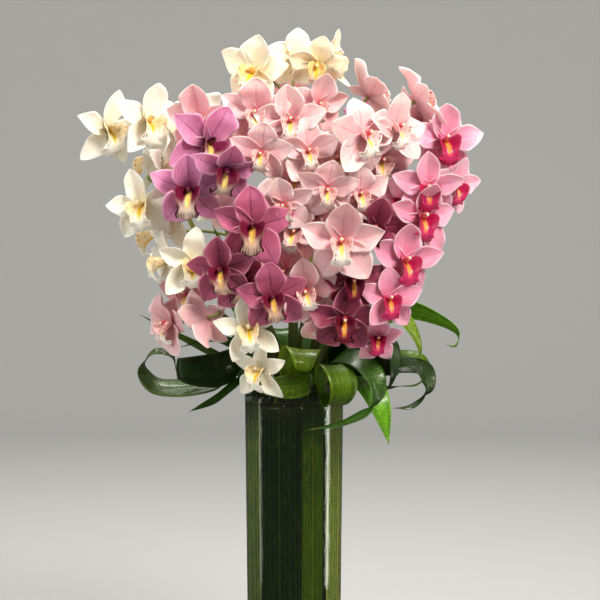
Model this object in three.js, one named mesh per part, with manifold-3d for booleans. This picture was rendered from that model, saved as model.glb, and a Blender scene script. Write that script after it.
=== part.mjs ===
// Cymbidium orchids in a tall clear glass vase: sprays of blooms over a collar of curled leaves.
// Millimetres, +Z up. The origin is the centre of the vase's foot, where it stands.
import * as THREE from "three";
import { mergeVertices } from "three/addons/utils/BufferGeometryUtils.js";
import Module from "manifold-3d";

const wasm = await Module();
wasm.setup();

// Driving dimensions
const VASE = { height: 406, rimRadius: 63.5, footRadius: 59, wall: 4.5, floor: 16, edge: 1.2, sides: 32 };
const WATER_LEVEL = 352;
const CLEARANCE = 0.35; // left between pieces that meet
const SLIVER = 0.06; // what is narrower after a cut is smoothed away
const STEM = { radius: 4, sides: 5, foot: 30, gather: 0.8 };
const PEDICEL = { radius: 1.9, sides: 3, steps: 2, turningSteps: 4, drop: 26, knee: 0.55 };
const ROOT = { depth: 45, rise: 9, half: 3.5, thickness: 2.4 }; // where a collar leaf is wedged in
const BLADE = { thickness: 1, trough: 0.12, settle: 0.3, fullness: 0.75 }; // a collar leaf beyond its root
const EYE = { distance: 2400, height: 620 }; // the rows below give the blooms as they are seen from here
const DOME = { across: 262, up: 258, deep: 150, back: 0.6, middle: 225 }; // the round mass under the blooms

// Kinds of bloom: colour and breadth of the tepals
const KINDS = {
  white: { colour: 0xf3eee2, breadth: 1.0 },
  cream: { colour: 0xf2ead0, breadth: 1.12 },
  magenta: { colour: 0xae4c86, breadth: 1.0 },
  blush: { colour: 0xe6b6ba, breadth: 1.05 },
  rose: { colour: 0xe58fb0, breadth: 1.0 },
  plum: { colour: 0x9c4562, breadth: 1.05 },
};

// The tepals of a bloom that spans 1 across its petals, in turn from the right-hand side: angle, length,
// half width, rise of the tip toward the front and rise of the edges. The lip stands among them, at the
// bottom.
const TEPALS = [
  { angle: 15, length: 0.5, half: 0.13, bow: 0.06, cup: 0.2 },
  { angle: 90, length: 0.51, half: 0.165, bow: 0.12, cup: 0.25 },
  { angle: 165, length: 0.5, half: 0.13, bow: 0.06, cup: 0.2 },
  { angle: 230, length: 0.53, half: 0.142, bow: 0.03, cup: 0.15 },
  { angle: 270, lip: true },
  { angle: 310, length: 0.53, half: 0.142, bow: 0.03, cup: 0.15 },
];
const TEPAL = { hub: 1.3, rib: 0.9, seat: 0.05, notch: 0.095, wide: 0.5, outer: 0.84, taper: 0.72 };
const BOW_SWAY = 0.06; // how far one tepal's bow differs from the next

// The lip of a bloom that spans 1 is a trough with raised side lobes and a middle lobe that turns down.
// Each point is across, up and forward from the hub.
const LIP = {
  wide: [0.1, -0.05, 0.2], outer: [0.095, -0.2, 0.15], tip: [0, -0.28, 0.09], rib: [0, -0.11, 0.13],
};
const COLUMN = { base: 0.035, tip: 0.045, up: 0.05, forward: 0.2 };

// Each row is one bloom: across and up from the middle of the rim as the eye sees it, lift off the dome,
// turn to the right, tilt upward, roll to the right, and span.
const SPRAYS = [
  {
    name: "spray_white_left", kind: "white",
    stem: [[-43, 4, 0], [-52, 5, 60], [-104, -2, 156], [-140, -18, 238], [-176, -20, 310], [-200, -20, 342]],
    blooms: [
      [-240, 339, 10, 34, 0, 0, 96], [-188, 350, 6, 26, 4, 12, 96], [-152, 334, -34, 22, 5, -20, 86],
      [-169, 285, -8, 68, 12, 8, 90], [-195, 243, 10, -12, -4, -12, 90], [-160, 230, -36, -25, -18, 10, 82],
      [-163, 169, 0, -66, 0, 4, 78], [-132, 169, 14, 8, -12, 4, 88],
    ],
  },
  {
    name: "spray_cream_top", kind: "cream",
    stem: [[2, 8, 0], [0, 12, 150], [-5, 12, 280], [-6, 6, 380], [4, 2, 415]],
    blooms: [
      [-50, 412, 10, -22, 4, 10, 92], [4, 432, 12, 4, -6, -4, 74], [30, 424, 34, -6, -30, 12, 76],
      [46, 428, -30, 66, 8, 10, 76],
    ],
  },
  {
    name: "spray_magenta_high", kind: "magenta",
    stem: [[-19, -10, 0], [-48, -32, 110], [-84, -72, 210], [-104, -88, 280], [-112, -92, 312]],
    blooms: [
      [-111, 322, 26, 24, 0, 26, 98], [-134, 262, 26, -4, -12, 0, 96], [-88, 290, 34, 8, -36, 10, 88],
    ],
  },
  {
    name: "spray_magenta_low", kind: "magenta",
    stem: [[-15, -40, 0], [-20, -50, 60], [-44, -106, 126], [-56, -136, 185], [-54, -146, 210]],
    blooms: [
      [-53, 215, 30, 0, -6, 0, 100], [-94, 161, 32, -6, -18, -6, 88], [-28, 125, 24, 4, -14, -8, 88],
      [-62, 143, -6, 0, -8, 12, 84],
    ],
  },
  {
    name: "spray_blush_left", kind: "blush",
    stem: [[-19, 11, 0], [-42, 4, 120], [-72, -32, 220], [-84, -58, 300], [-96, -66, 338]],
    blooms: [
      [-121, 350, 8, -14, 0, 4, 88], [-67, 324, -20, -18, -4, 0, 78], [-89, 239, -22, 158, 34, 0, 76],
    ],
  },
  {
    name: "spray_blush_centre", kind: "blush",
    stem: [[-4, -22, 0], [-4, -48, 120], [-8, -84, 220], [-6, -92, 300], [0, -88, 352]],
    blooms: [
      [-48, 362, 20, -6, -14, 0, 90], [-4, 350, 20, 0, -4, 0, 88], [31, 372, 10, 10, -14, 6, 78],
      [-42, 311, 24, -6, -22, 8, 80], [18, 311, 14, 8, -6, -8, 80], [3, 275, -12, -6, -12, 14, 80],
    ],
  },
  {
    name: "spray_blush_heart", kind: "blush",
    stem: [[4, -43, 0], [6, -50, 60], [16, -92, 126], [22, -114, 195], [26, -120, 250]],
    blooms: [
      [43, 264, 22, 0, -20, 6, 80], [-14, 243, 16, 0, -18, -10, 78], [-1, 208, -8, -4, -8, 20, 86],
      [28, 228, -8, -10, -22, 0, 76], [15, 133, 9, 2, -18, -14, 86], [36, 97, -8, 0, -30, 4, 76],
      [-14, 156, -16, -4, -8, 20, 84],
    ],
  },
  {
    name: "spray_blush_front", kind: "blush",
    stem: [[16, -16, 0], [32, -44, 100], [60, -92, 190], [76, -106, 250], [86, -104, 296]],
    blooms: [
      [61, 195, 34, 0, -5, 0, 102], [59, 303, -2, -14, -10, 6, 82], [86, 257, 8, 4, -10, -6, 76],
      [111, 303, -9, 12, -20, 0, 98],
    ],
  },
  {
    name: "spray_blush_right", kind: "blush",
    stem: [[22, 4, 0], [42, 2, 130], [84, -26, 240], [110, -46, 320], [126, -48, 362]],
    blooms: [
      [95, 381, 4, 118, 44, 8, 92], [155, 375, 12, 104, 32, 0, 92], [88, 330, 42, 34, 2, 0, 96],
      [128, 339, 30, 40, 4, 4, 86], [163, 342, -26, 44, 4, 10, 84],
    ],
  },
  {
    name: "spray_rose_right", kind: "rose",
    stem: [[43, -6, 0], [52, -7, 60], [112, -16, 152], [154, -26, 236], [180, -30, 306]],
    blooms: [
      [194, 325, 14, 10, 0, 0, 94], [172, 266, 22, 4, -14, 0, 88], [204, 268, 2, 36, -10, 10, 74],
      [164, 228, 18, 18, -8, 10, 90], [143, 249, -18, -14, -6, -10, 78],
    ],
  },
  {
    name: "spray_rose_low", kind: "rose",
    stem: [[35, -25, 0], [43, -32, 60], [88, -64, 118], [116, -80, 166]],
    blooms: [
      [141, 171, 22, 20, -4, 4, 92], [122, 122, 32, 12, -6, 0, 78], [108, 71, 14, 4, -8, 0, 64],
    ],
  },
  {
    name: "spray_plum_right", kind: "plum",
    stem: [[21, -37, 0], [27, -46, 60], [60, -94, 128], [88, -112, 188], [98, -116, 215]],
    blooms: [
      [104, 215, 8, 0, -18, 10, 86], [76, 148, 14, 6, -22, -4, 86], [65, 97, 18, 0, -20, 6, 92],
    ],
  },
  {
    name: "spray_blush_low", kind: "blush",
    stem: [[-40, -16, 0], [-50, -22, 58], [-94, -50, 106], [-124, -62, 114]],
    blooms: [
      [-157, 88, 14, -52, -4, 0, 86], [-112, 97, 18, -120, -14, 0, 80], [-137, 126, -18, -18, 0, 0, 76],
    ],
  },
  {
    name: "spray_white_low", kind: "white",
    stem: [[-29, -32, 0], [-34, -42, 58], [-44, -78, 92], [-52, -106, 90], [-50, -122, 66]],
    blooms: [
      [-58, 84, 20, 0, -4, -10, 84], [-41, 30, 22, -34, -4, 6, 76],
    ],
  },
  {
    name: "spray_back_white", kind: "white", behind: true,
    stem: [[-33, 28, 0], [-38, 33, 60], [-80, 46, 190], [-106, 46, 285], [-104, 44, 338]],
    blooms: [
      [-178, 296, -96, 266, 4, 0, 92], [-112, 352, -34, 206, 30, 0, 90], [-176, 205, -104, 262, -10, 0, 90],
      [-104, 262, 6, 196, -2, 0, 94],
    ],
  },
  {
    name: "spray_back_blush", kind: "blush", behind: true,
    stem: [[0, 43, 0], [1, 48, 60], [6, 58, 200], [0, 56, 315], [-8, 50, 380]],
    blooms: [
      [-16, 396, -38, 180, 46, 0, 92], [24, 322, 6, 172, 4, 0, 94], [-30, 236, 8, 186, -6, 0, 94],
      [38, 168, 4, 172, -12, 0, 88],
    ],
  },
  {
    name: "spray_back_magenta", kind: "magenta", behind: true,
    stem: [[35, 25, 0], [41, 30, 60], [84, 46, 195], [110, 48, 285], [108, 46, 336]],
    blooms: [
      [170, 306, -96, 96, 4, 0, 94], [106, 350, -34, 156, 30, 0, 92], [160, 196, -110, 98, -10, 0, 90],
      [104, 254, 6, 164, -2, 0, 94],
    ],
  },
];

// Collar leaves: root angle round the rim from the front, breadth, the way the blade is broad, sections along
// the blade, and its path as across, depth and up from the middle of the rim.
const LEAVES = [
  { name: "leaf_ring_left", root: -84, breadth: 38, broad: [0.3, 0.75, 0.5], steps: 11,
    path: [[-74, -18, 34], [-108, -40, 18], [-150, -46, 12], [-178, -46, 16], [-191, -46, 36],
      [-176, -46, 56], [-154, -45, 50], [-150, -44, 34]] },
  { name: "leaf_roll_left", root: -58, breadth: 46, broad: [0, -0.25, 1], steps: 8,
    path: [[-62, -44, 40], [-98, -76, 34], [-134, -78, 34], [-148, -64, 36], [-132, -52, 36],
      [-104, -50, 34]] },
  { name: "leaf_tip_left", root: -71, breadth: 20, broad: [0.3, -0.4, 0.9], steps: 5,
    path: [[-66, -27, 17], [-100, -58, -4], [-132, -66, -18]] },
  { name: "leaf_shelf_left", root: -46, breadth: 32, broad: [0.3, -0.8, 0.4], steps: 5,
    path: [[-50, -64, 46], [-92, -94, 74], [-140, -98, 66]] },
  { name: "leaf_fold_front", root: -8, breadth: 42, broad: [1, 0.1, -0.1], steps: 8,
    path: [[2, -64, 40], [10, -82, 61], [12, -102, 56], [12, -110, 44], [12, -98, 36], [12, -88, 40]] },
  { name: "leaf_band_front", root: 17, breadth: 25, broad: [0, 0.1, 1], steps: 7,
    path: [[22, -70, 22], [4, -79, 16], [-20, -78, 14], [-44, -67, 14], [-60, -50, 16]] },
  { name: "leaf_roll_front", root: 37, breadth: 44, broad: [0.84, 0.54, 0], steps: 11,
    path: [[44, -74, 36], [49, -94, 42], [57, -109, 32], [60, -114, 14], [54, -104, -3], [42, -86, -5],
      [38, -76, 10], [42, -84, 26]] },
  { name: "leaf_band_right", root: 55.5, breadth: 34, broad: [0.8, 0.6, 0], steps: 7,
    path: [[61, -40, 65], [94, -65, 78], [119, -92, 69], [124, -102, 44], [120, -96, 20], [114, -86, 10]] },
  { name: "leaf_striped_right", root: 73, breadth: 36, broad: [0.2, 0.15, 1], steps: 8,
    path: [[66, -34, 38], [90, -70, 44], [118, -86, 42], [131, -74, 38], [118, -60, 34], [100, -56, 34]] },
  { name: "leaf_arch_right", root: 99, breadth: 34, broad: [0.6, 0.65, 0.4], steps: 9,
    path: [[76, 3, 48], [108, -22, 86], [134, -36, 100], [154, -40, 76], [160, -34, 52], [152, -28, 42]] },
  { name: "leaf_tuck_right", root: 90, breadth: 29, broad: [0.45, 0.6, 0.6], steps: 8,
    path: [[84, -15, 36], [132, -32, 37], [164, -46, 34], [168, -62, 12], [148, -74, -10], [124, -82, -12]] },
  { name: "leaf_ring_right", root: 114, breadth: 24, broad: [0.3, 0.85, 0.4], steps: 8,
    path: [[86, 12, 28], [132, 4, 48], [162, -4, 46], [173, -6, 30], [160, -2, 12], [134, 4, 8]] },
  { name: "leaf_point_right", root: 82, breadth: 16, broad: [0.2, -0.6, 0.7], steps: 5,
    path: [[74, -18, 14], [104, -42, 10], [134, -54, 13]] },
  { name: "leaf_long_right", root: 128, breadth: 36, broad: [0.1, -0.6, 0.8], steps: 9,
    path: [[78, 16, 70], [134, 8, 108], [182, -16, 98], [210, -28, 78], [206, -28, 62], [194, -26, 64]] },
  { name: "leaf_hanging_right", root: 64, breadth: 38, broad: [0.95, 0.3, 0.1], steps: 6,
    path: [[66, -44, 22], [94, -65, 14], [108, -77, -12], [119, -75, -58]] },
  { name: "leaf_across_front", root: 46.5, breadth: 29, broad: [0.5, 0.6, 0.6], steps: 9,
    path: [[50, -62, 46], [78, -90, 50], [101, -110, 26], [96, -120, -4], [64, -124, -24], [18, -112, -36]] },
  { name: "leaf_among_blooms", root: -104, breadth: 30, broad: [0.8, -0.5, 0.1], steps: 6,
    path: [[-60, -18, 74], [-75, -49, 152], [-101, -92, 217]] },
  { name: "leaf_tip_far_left", root: -114, breadth: 16, broad: [0.3, -0.7, 0.6], steps: 5,
    path: [[-92, -10, 44], [-148, -30, 76], [-196, -36, 103]] },
];
const BACK_LOOPS = [148, 168, -170, -146]; // root angles of the plain loops behind
const BACK_LOOP = {
  breadth: 30, steps: 7, path: [[66, 28], [94, 74], [122, 72], [134, 32], [113, 3], [92, 13]],
};

// Leaves that line the glass: angle from the front at the left and right edge, and layer from the glass
// inward
const LINERS = [
  { name: "liner_left", from: -96, to: -47, layer: 0 },
  { name: "liner_dark_front", from: -45, to: 8, layer: 0 },
  { name: "liner_bright_front", from: 10, to: 38, layer: 0 },
  { name: "liner_right", from: 46, to: 94, layer: 0 },
  { name: "liner_back_right", from: 97, to: 140, layer: 0 },
  { name: "liner_back", from: 143, to: 196, layer: 0 },
  { name: "liner_back_left", from: 199, to: 260, layer: 0 },
  { name: "liner_inner_front", from: 14, to: 57, layer: 1 },
];
const LINER = {
  bottom: 24, top: 398, thickness: 0.9, gap: 0.7, reach: 1.8, layer: 1.5, taper: 0.45, shoulder: 0.22,
  facet: 17,
};

// Where a point is round the vase: an angle from the front, which is -Y, toward the right, which is +X
function around(angle, radius, height) {
  const turn = THREE.MathUtils.degToRad(angle);
  return new THREE.Vector3(Math.sin(turn) * radius, -Math.cos(turn) * radius, height);
}

// A closed geometry from corners and triangles, with corners at the same place made one
function geometryOf(corners, faces) {
  const geometry = new THREE.BufferGeometry();
  const places = new Float32Array(corners.flatMap((corner) => corner.toArray()));
  geometry.setAttribute("position", new THREE.BufferAttribute(places, 3));
  geometry.setIndex(faces);
  return geometry;
}

function solidOf(geometry) {
  geometry.deleteAttribute("normal");
  geometry.deleteAttribute("uv");
  const merged = mergeVertices(geometry, 1e-3);
  const index = Array.from(merged.index.array);
  const faces = [];
  for (let i = 0; i < index.length; i += 3) {
    const [a, b, c] = index.slice(i, i + 3);
    if (a !== b && b !== c && c !== a) {
      faces.push(a, b, c);
    }
  }
  const mesh = new wasm.Mesh({
    numProp: 3,
    vertProperties: merged.attributes.position.array,
    triVerts: new Uint32Array(faces),
  });
  return new wasm.Manifold(mesh);
}

// The largest body of a solid: a tip that a neighbour cuts off is dropped
function mainBody(solid) {
  const bodies = solid.simplify(SLIVER).decompose();
  return bodies.reduce((best, body) => (body.volume() > best.volume() ? body : best));
}

function joined(solids) {
  return solids.reduce((whole, solid) => whole.add(solid));
}

function cutClear(solid, others) {
  return others.reduce((rest, other) => rest.subtract(other), solid);
}

function meshOf(name, solid, finish) {
  const { vertProperties, triVerts } = solid.getMesh();
  const geometry = new THREE.BufferGeometry();
  geometry.setAttribute("position", new THREE.BufferAttribute(new Float32Array(vertProperties), 3));
  geometry.setIndex(Array.from(triVerts));
  geometry.computeVertexNormals();
  const mesh = new THREE.Mesh(geometry, new THREE.MeshStandardMaterial(finish));
  mesh.name = name;
  return mesh;
}

// The skin over sections of equal count, each counter-clockwise seen from the far end. The two broad faces
// have their folds along the same lines, so that a thin blade can twist.
function skin(sections) {
  const count = sections[0].length;
  const faces = [];
  for (let row = 0; row + 1 < sections.length; row += 1) {
    for (let i = 0; i < count; i += 1) {
      const a = row * count + i;
      const b = row * count + ((i + 1) % count);
      if (i < count / 2) {
        faces.push(a, b, b + count, a, b + count, a + count);
      } else {
        faces.push(a, b, a + count, b, b + count, a + count);
      }
    }
  }
  return faces;
}

// The same with both ends closed
function loft(sections) {
  const count = sections[0].length;
  const faces = skin(sections);
  const last = (sections.length - 1) * count;
  for (let i = 1; i + 1 < count; i += 1) {
    faces.push(0, i + 1, i, last, last + i, last + i + 1);
  }
  return geometryOf(sections.flat(), faces);
}

// A blade's section: thick at the rib and sharp at the edges, or with full edges when it is grown
function bladeSection(centre, side, normal, half, thick, rise, grow) {
  const point = (across, out) => centre.clone().addScaledVector(side, across).addScaledVector(normal, out);
  if (grow === 0) {
    return [point(-half, rise), point(0, -thick), point(half, rise), point(0, thick)];
  }
  const wide = half + grow;
  const deep = thick + grow;
  return [
    point(-wide, rise - grow), point(0, -deep), point(wide, rise - grow),
    point(wide, rise + grow), point(0, deep), point(-wide, rise + grow),
  ];
}

function tube(curve, radius, sides, steps) {
  const ring = new THREE.Shape();
  for (let i = 0; i < sides; i += 1) {
    const turn = (i / sides) * Math.PI * 2;
    const [x, y] = [Math.cos(turn) * radius, Math.sin(turn) * radius];
    if (i === 0) {
      ring.moveTo(x, y);
    } else {
      ring.lineTo(x, y);
    }
  }
  ring.closePath();
  return solidOf(new THREE.ExtrudeGeometry(ring, { steps, extrudePath: curve, bevelEnabled: false }));
}

// Small steady differences between one bloom's tepals and the next one's
function sway(bloom, tepal) {
  return Math.sin(bloom * 2.1 + tepal * 1.7);
}

// A bloom as one thin star round a hub: six lobes with a front and a back that share the outline, or
// two outlines apart when it is grown. The column rises from a ring of six corners to a tip of three, and
// the back has a flat facet of three corners, which the pedicel goes into.
function bloomGeometry(span, breadth, number, grow) {
  const front = [];
  const back = [];
  const faces = { front: [], back: [] };
  const place = ([x, y, z], thick, outline) => {
    const stretch = outline ? 1 + grow / Math.hypot(x, y) : 1;
    const half = outline ? grow : thick + grow;
    front.push(new THREE.Vector3(x * stretch, y * stretch, z + half));
    back.push(new THREE.Vector3(x * stretch, y * stretch, z - half));
    return front.length - 1;
  };
  const polar = (angle, radius, z) => {
    const turn = THREE.MathUtils.degToRad(angle);
    return [Math.cos(turn) * radius, Math.sin(turn) * radius, z];
  };
  const notchAngle = TEPALS.map((tepal, i) => {
    const next = TEPALS[(i + 1) % TEPALS.length].angle + (i + 1 === TEPALS.length ? 360 : 0);
    return (tepal.angle + next) / 2;
  });
  const ring = notchAngle.map((angle) => place(polar(angle, COLUMN.base * span + grow, 0), TEPAL.hub, false));
  const seat = [0, 2, 4].map((i) => place(polar(notchAngle[i], TEPAL.seat * span, 0), TEPAL.hub, false));
  const notch = notchAngle.map((angle) => place(polar(angle, TEPAL.notch * span, 0), 0, true));
  faces.back.push([seat[0], seat[2], seat[1]]);
  TEPALS.forEach((tepal, i) => {
    const before = (i + TEPALS.length - 1) % TEPALS.length;
    const [edge, rib] = tepal.lip ? lipPoints(span) : tepalPoints(tepal, span, breadth, sway(number, i));
    const middle = place(rib, TEPAL.rib, false);
    const outline = [notch[before], ...edge.map((point) => place(point, 0, true)), notch[i]];
    faces.front.push([ring[before], notch[before], middle], [ring[before], middle, ring[i]]);
    faces.front.push([ring[i], middle, notch[i]]);
    const [start, end] = [seat[before >> 1], seat[i >> 1]];
    faces.back.push([start, middle, notch[before]], [end, notch[i], middle], [start, end, middle]);
    for (let j = 0; j + 1 < outline.length; j += 1) {
      const [a, b] = [outline[j], outline[j + 1]];
      faces.front.push([a, b, middle]);
      faces.back.push([b, a, middle]);
    }
    faces[i] = outline;
  });
  const behind = front.length;
  const index = [...faces.front.flat(), ...faces.back.flat().map((corner) => corner + behind)];
  TEPALS.forEach((tepal, i) => {
    for (let j = 0; j + 1 < faces[i].length; j += 1) {
      const [a, b] = [faces[i][j], faces[i][j + 1]];
      index.push(a, behind + a, behind + b, a, behind + b, b);
    }
  });
  const tips = [1, 3, 5].map((i) => {
    const [x, y] = polar(notchAngle[i], COLUMN.tip * span + grow, 0);
    return new THREE.Vector3(x, y + COLUMN.up * span, COLUMN.forward * span + grow);
  });
  const tip = [0, 1, 2].map((i) => 2 * behind + i);
  for (let i = 0; i < 3; i += 1) {
    const [a, b, c] = [ring[2 * i], ring[2 * i + 1], ring[(2 * i + 2) % 6]];
    index.push(a, b, tip[i], b, c, tip[i], c, tip[(i + 1) % 3], tip[i]);
  }
  index.push(...tip);
  return geometryOf([...front, ...back, ...tips], index);
}

// The outline of a tepal from its right edge round the tip to its left edge, and its rib's middle
function tepalPoints(tepal, span, breadth, swing) {
  const turn = THREE.MathUtils.degToRad(tepal.angle);
  const length = tepal.length * span;
  const half = tepal.half * span * breadth;
  const bow = (tepal.bow + BOW_SWAY * swing) * span;
  const point = (along, across) => [
    Math.cos(turn) * along * length - Math.sin(turn) * across * half,
    Math.sin(turn) * along * length + Math.cos(turn) * across * half,
    bow * along * along + tepal.cup * half * across * across,
  ];
  const { wide, outer, taper } = TEPAL;
  const edge = [point(wide, -1), point(outer, -taper), point(1, 0), point(outer, taper), point(wide, 1)];
  return [edge, point((wide + outer) / 2, 0)];
}

function lipPoints(span) {
  const point = ([across, up, forward], side) => [across * side * span, up * span, forward * span];
  const edge = [
    point(LIP.wide, -1), point(LIP.outer, -1), point(LIP.tip, 1), point(LIP.outer, 1), point(LIP.wide, 1),
  ];
  return [edge, point(LIP.rib, 1)];
}

// The place and the frame of a bloom: its right, its up and the way it faces
function bloomFrame(row, behind) {
  const [across, up, lift, turn, tilt, roll] = row;
  const flat = (across / DOME.across) ** 2 + ((up - DOME.middle) / DOME.up) ** 2;
  const out = (DOME.deep * Math.sqrt(Math.max(0.1, 1 - flat)) + lift) * (behind ? -DOME.back : 1);
  const near = behind ? 1 : 1 - out / EYE.distance;
  const height = EYE.height + (VASE.height + up - EYE.height) * near;
  const centre = new THREE.Vector3(across * near, -out, height);
  const [az, el, ro] = [turn, tilt, roll].map(THREE.MathUtils.degToRad);
  const face = new THREE.Vector3(Math.sin(az) * Math.cos(el), -Math.cos(az) * Math.cos(el), Math.sin(el));
  const level = new THREE.Vector3(Math.cos(az), Math.sin(az), 0);
  const upright = face.clone().cross(level);
  const right = level.clone().multiplyScalar(Math.cos(ro)).addScaledVector(upright, -Math.sin(ro));
  const top = upright.clone().multiplyScalar(Math.cos(ro)).addScaledVector(level, Math.sin(ro));
  const matrix = new THREE.Matrix4().makeBasis(right, top, face).setPosition(centre);
  return { centre, face, matrix };
}

// A curve whose even steps fall on its own points, so that a tube along it bends only there
class StepCurve extends THREE.CatmullRomCurve3 {
  getUtoTmapping(step) {
    return step;
  }
}

function stemPoints(spray) {
  const [across, depth] = spray.stem[0];
  const foot = new THREE.Vector3(across * STEM.gather, depth * STEM.gather, STEM.foot);
  return [foot, ...spray.stem.map(([x, y, up]) => new THREE.Vector3(x, y, VASE.height + up))];
}

// Stem and pedicels: the part of a spray that nothing may cut
function skeleton(spray, frames, grow) {
  const points = stemPoints(spray);
  const line = new StepCurve(points, false, "centripetal");
  const parts = [tube(line, STEM.radius + grow, STEM.sides, points.length - 1)];
  frames.forEach(({ centre, face }) => {
    const below = new THREE.Vector3(0, 0, -PEDICEL.drop);
    const wish = centre.clone().addScaledVector(face, -PEDICEL.drop).add(below);
    const start = nearestOn(points.slice(1), wish);
    const knee = centre.clone().addScaledVector(face, -PEDICEL.knee * start.distanceTo(centre));
    const bend = new THREE.QuadraticBezierCurve3(start, knee, centre);
    const turnsBack = centre.clone().sub(start).dot(face) < 0;
    const steps = turnsBack ? PEDICEL.turningSteps : PEDICEL.steps;
    parts.push(tube(bend, PEDICEL.radius + grow, PEDICEL.sides, steps));
  });
  return joined(parts);
}

// The point of a chain of straight runs that is nearest to a place
function nearestOn(points, place) {
  const runs = points.slice(1).map((end, i) => new THREE.Line3(points[i], end));
  const spots = runs.map((run) => run.closestPointToPoint(place, true, new THREE.Vector3()));
  return spots.reduce((best, spot) => (spot.distanceTo(place) < best.distanceTo(place) ? spot : best));
}

function bloomSolid(frame, row, number, breadth, grow) {
  return solidOf(bloomGeometry(row[6], breadth, number, grow).applyMatrix4(frame.matrix));
}

// Half the width of a blade along its length, from its stalk to its point
function bladeHalf(along, breadth) {
  const grown = Math.sin(Math.PI * along ** BLADE.fullness) * breadth * 0.5;
  return along === 1 ? 0 : Math.max(ROOT.half * (1 - along), grown);
}

// The root stands upright inside the glass to just above the rim, and the blade goes on from there
function leafSolid(leaf, grow) {
  const wall = rootRadius(leaf.root);
  const foot = around(leaf.root, wall, VASE.height - ROOT.depth);
  const top = around(leaf.root, wall, VASE.height + ROOT.rise);
  const path = leaf.path.map(([x, y, up]) => new THREE.Vector3(x, y, VASE.height + up));
  const curve = new THREE.CatmullRomCurve3([top, ...path], false, "centripetal");
  const broad = new THREE.Vector3(...leaf.broad).normalize();
  const rootBroad = around(leaf.root + 90, 1, 0);
  if (rootBroad.dot(broad) < 0) {
    rootBroad.negate();
  }
  const section = (centre, way, along) => {
    const blend = THREE.MathUtils.smoothstep(along, 0, BLADE.settle);
    const side = rootBroad.clone().lerp(broad, blend);
    const normal = way.clone().cross(side).normalize();
    side.copy(normal).cross(way).normalize();
    const half = bladeHalf(along, leaf.breadth);
    const thick = half === 0 ? 0 : THREE.MathUtils.lerp(ROOT.thickness, BLADE.thickness, blend) / 2;
    return bladeSection(centre, side, normal, half, thick, half * BLADE.trough, grow);
  };
  const upright = new THREE.Vector3(0, 0, 1);
  const sections = [section(foot, upright, 0), section(top, upright, 0)];
  for (let i = 1; i <= leaf.steps; i += 1) {
    const along = i / leaf.steps;
    sections.push(section(curve.getPointAt(along), curve.getTangentAt(along), along));
  }
  return solidOf(loft(sections));
}

// How far from the axis a root stands, just inside the innermost lining leaf there
function rootRadius(angle) {
  const low = VASE.height - ROOT.depth;
  const layers = LINERS.filter((liner) => angle > liner.from && angle < liner.to).map((liner) => liner.layer);
  const face = innerRadius(low) - LINER.gap - Math.max(0, ...layers) * LINER.layer - LINER.thickness;
  return face * Math.cos(THREE.MathUtils.degToRad(LINER.facet / 2)) - CLEARANCE - ROOT.thickness / 2;
}

function backLoop(angle, number) {
  const path = BACK_LOOP.path.map(([out, up]) => around(angle, out, up).toArray());
  const broad = around(angle + 90, 1, 0).toArray();
  const { breadth, steps } = BACK_LOOP;
  return { name: `leaf_back_${number}`, root: angle, breadth, broad, steps, path };
}

function innerRadius(height) {
  const share = (height - VASE.floor) / (VASE.height - VASE.floor);
  return THREE.MathUtils.lerp(VASE.footRadius, VASE.rimRadius, share) - VASE.wall;
}

// A leaf flat against the glass: an arc of the wall, narrow at its lower end. When it is grown, its outer face
// reaches into the glass, so that no film of water is left behind it.
function linerSolid(liner, grow) {
  const { from, to, layer } = liner;
  const outward = grow > 0 && layer === 0 ? LINER.reach : grow;
  const segments = Math.ceil((to - from) / LINER.facet);
  const middle = (from + to) / 2;
  const rows = [[LINER.bottom, LINER.taper], [THREE.MathUtils.lerp(LINER.bottom, LINER.top, LINER.shoulder), 1],
    [LINER.top, 1]];
  const sections = rows.map(([height, share], i) => {
    const z = height + (i === 0 ? -grow : i === 2 ? grow : 0);
    const outer = innerRadius(height) - LINER.gap - layer * LINER.layer + outward;
    const inner = innerRadius(height) - LINER.gap - layer * LINER.layer - LINER.thickness - grow;
    const reach = ((to - from) / 2) * share + THREE.MathUtils.radToDeg(grow / inner);
    const ring = [];
    for (let j = 0; j <= segments; j += 1) {
      ring.push(around(middle - reach + (2 * reach * j) / segments, outer, z));
    }
    for (let j = segments; j >= 0; j -= 1) {
      ring.push(around(middle - reach + (2 * reach * j) / segments, inner, z));
    }
    return ring;
  });
  return solidOf(arcLoft(sections, segments));
}

// Like loft, with ends closed across the thin arc
function arcLoft(sections, segments) {
  const count = sections[0].length;
  const faces = skin(sections);
  const last = (sections.length - 1) * count;
  for (let i = 0; i < segments; i += 1) {
    const [a, b, c, d] = [i, i + 1, count - 2 - i, count - 1 - i];
    faces.push(a, c, b, a, d, c, last + a, last + b, last + c, last + a, last + c, last + d);
  }
  return geometryOf(sections.flat(), faces);
}

// Turned pieces: the profile is radius and height, from the axis round to the axis
function turned(profile) {
  const points = profile.map(([radius, height]) => new THREE.Vector2(radius, height));
  return solidOf(new THREE.LatheGeometry(points, VASE.sides).rotateX(Math.PI / 2));
}

function vaseSolid() {
  const { height, rimRadius, footRadius, wall, floor, edge } = VASE;
  return turned([
    [0, 0], [footRadius - edge, 0], [footRadius, edge], [rimRadius, height - edge], [rimRadius - edge, height],
    [rimRadius - wall, height], [innerRadius(floor), floor], [0, floor],
  ]);
}

function waterSolid() {
  const [low, high] = [VASE.floor + CLEARANCE, WATER_LEVEL];
  return turned([
    [0, low], [innerRadius(low) - CLEARANCE, low], [innerRadius(high) - CLEARANCE, high], [0, high],
  ]);
}

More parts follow.
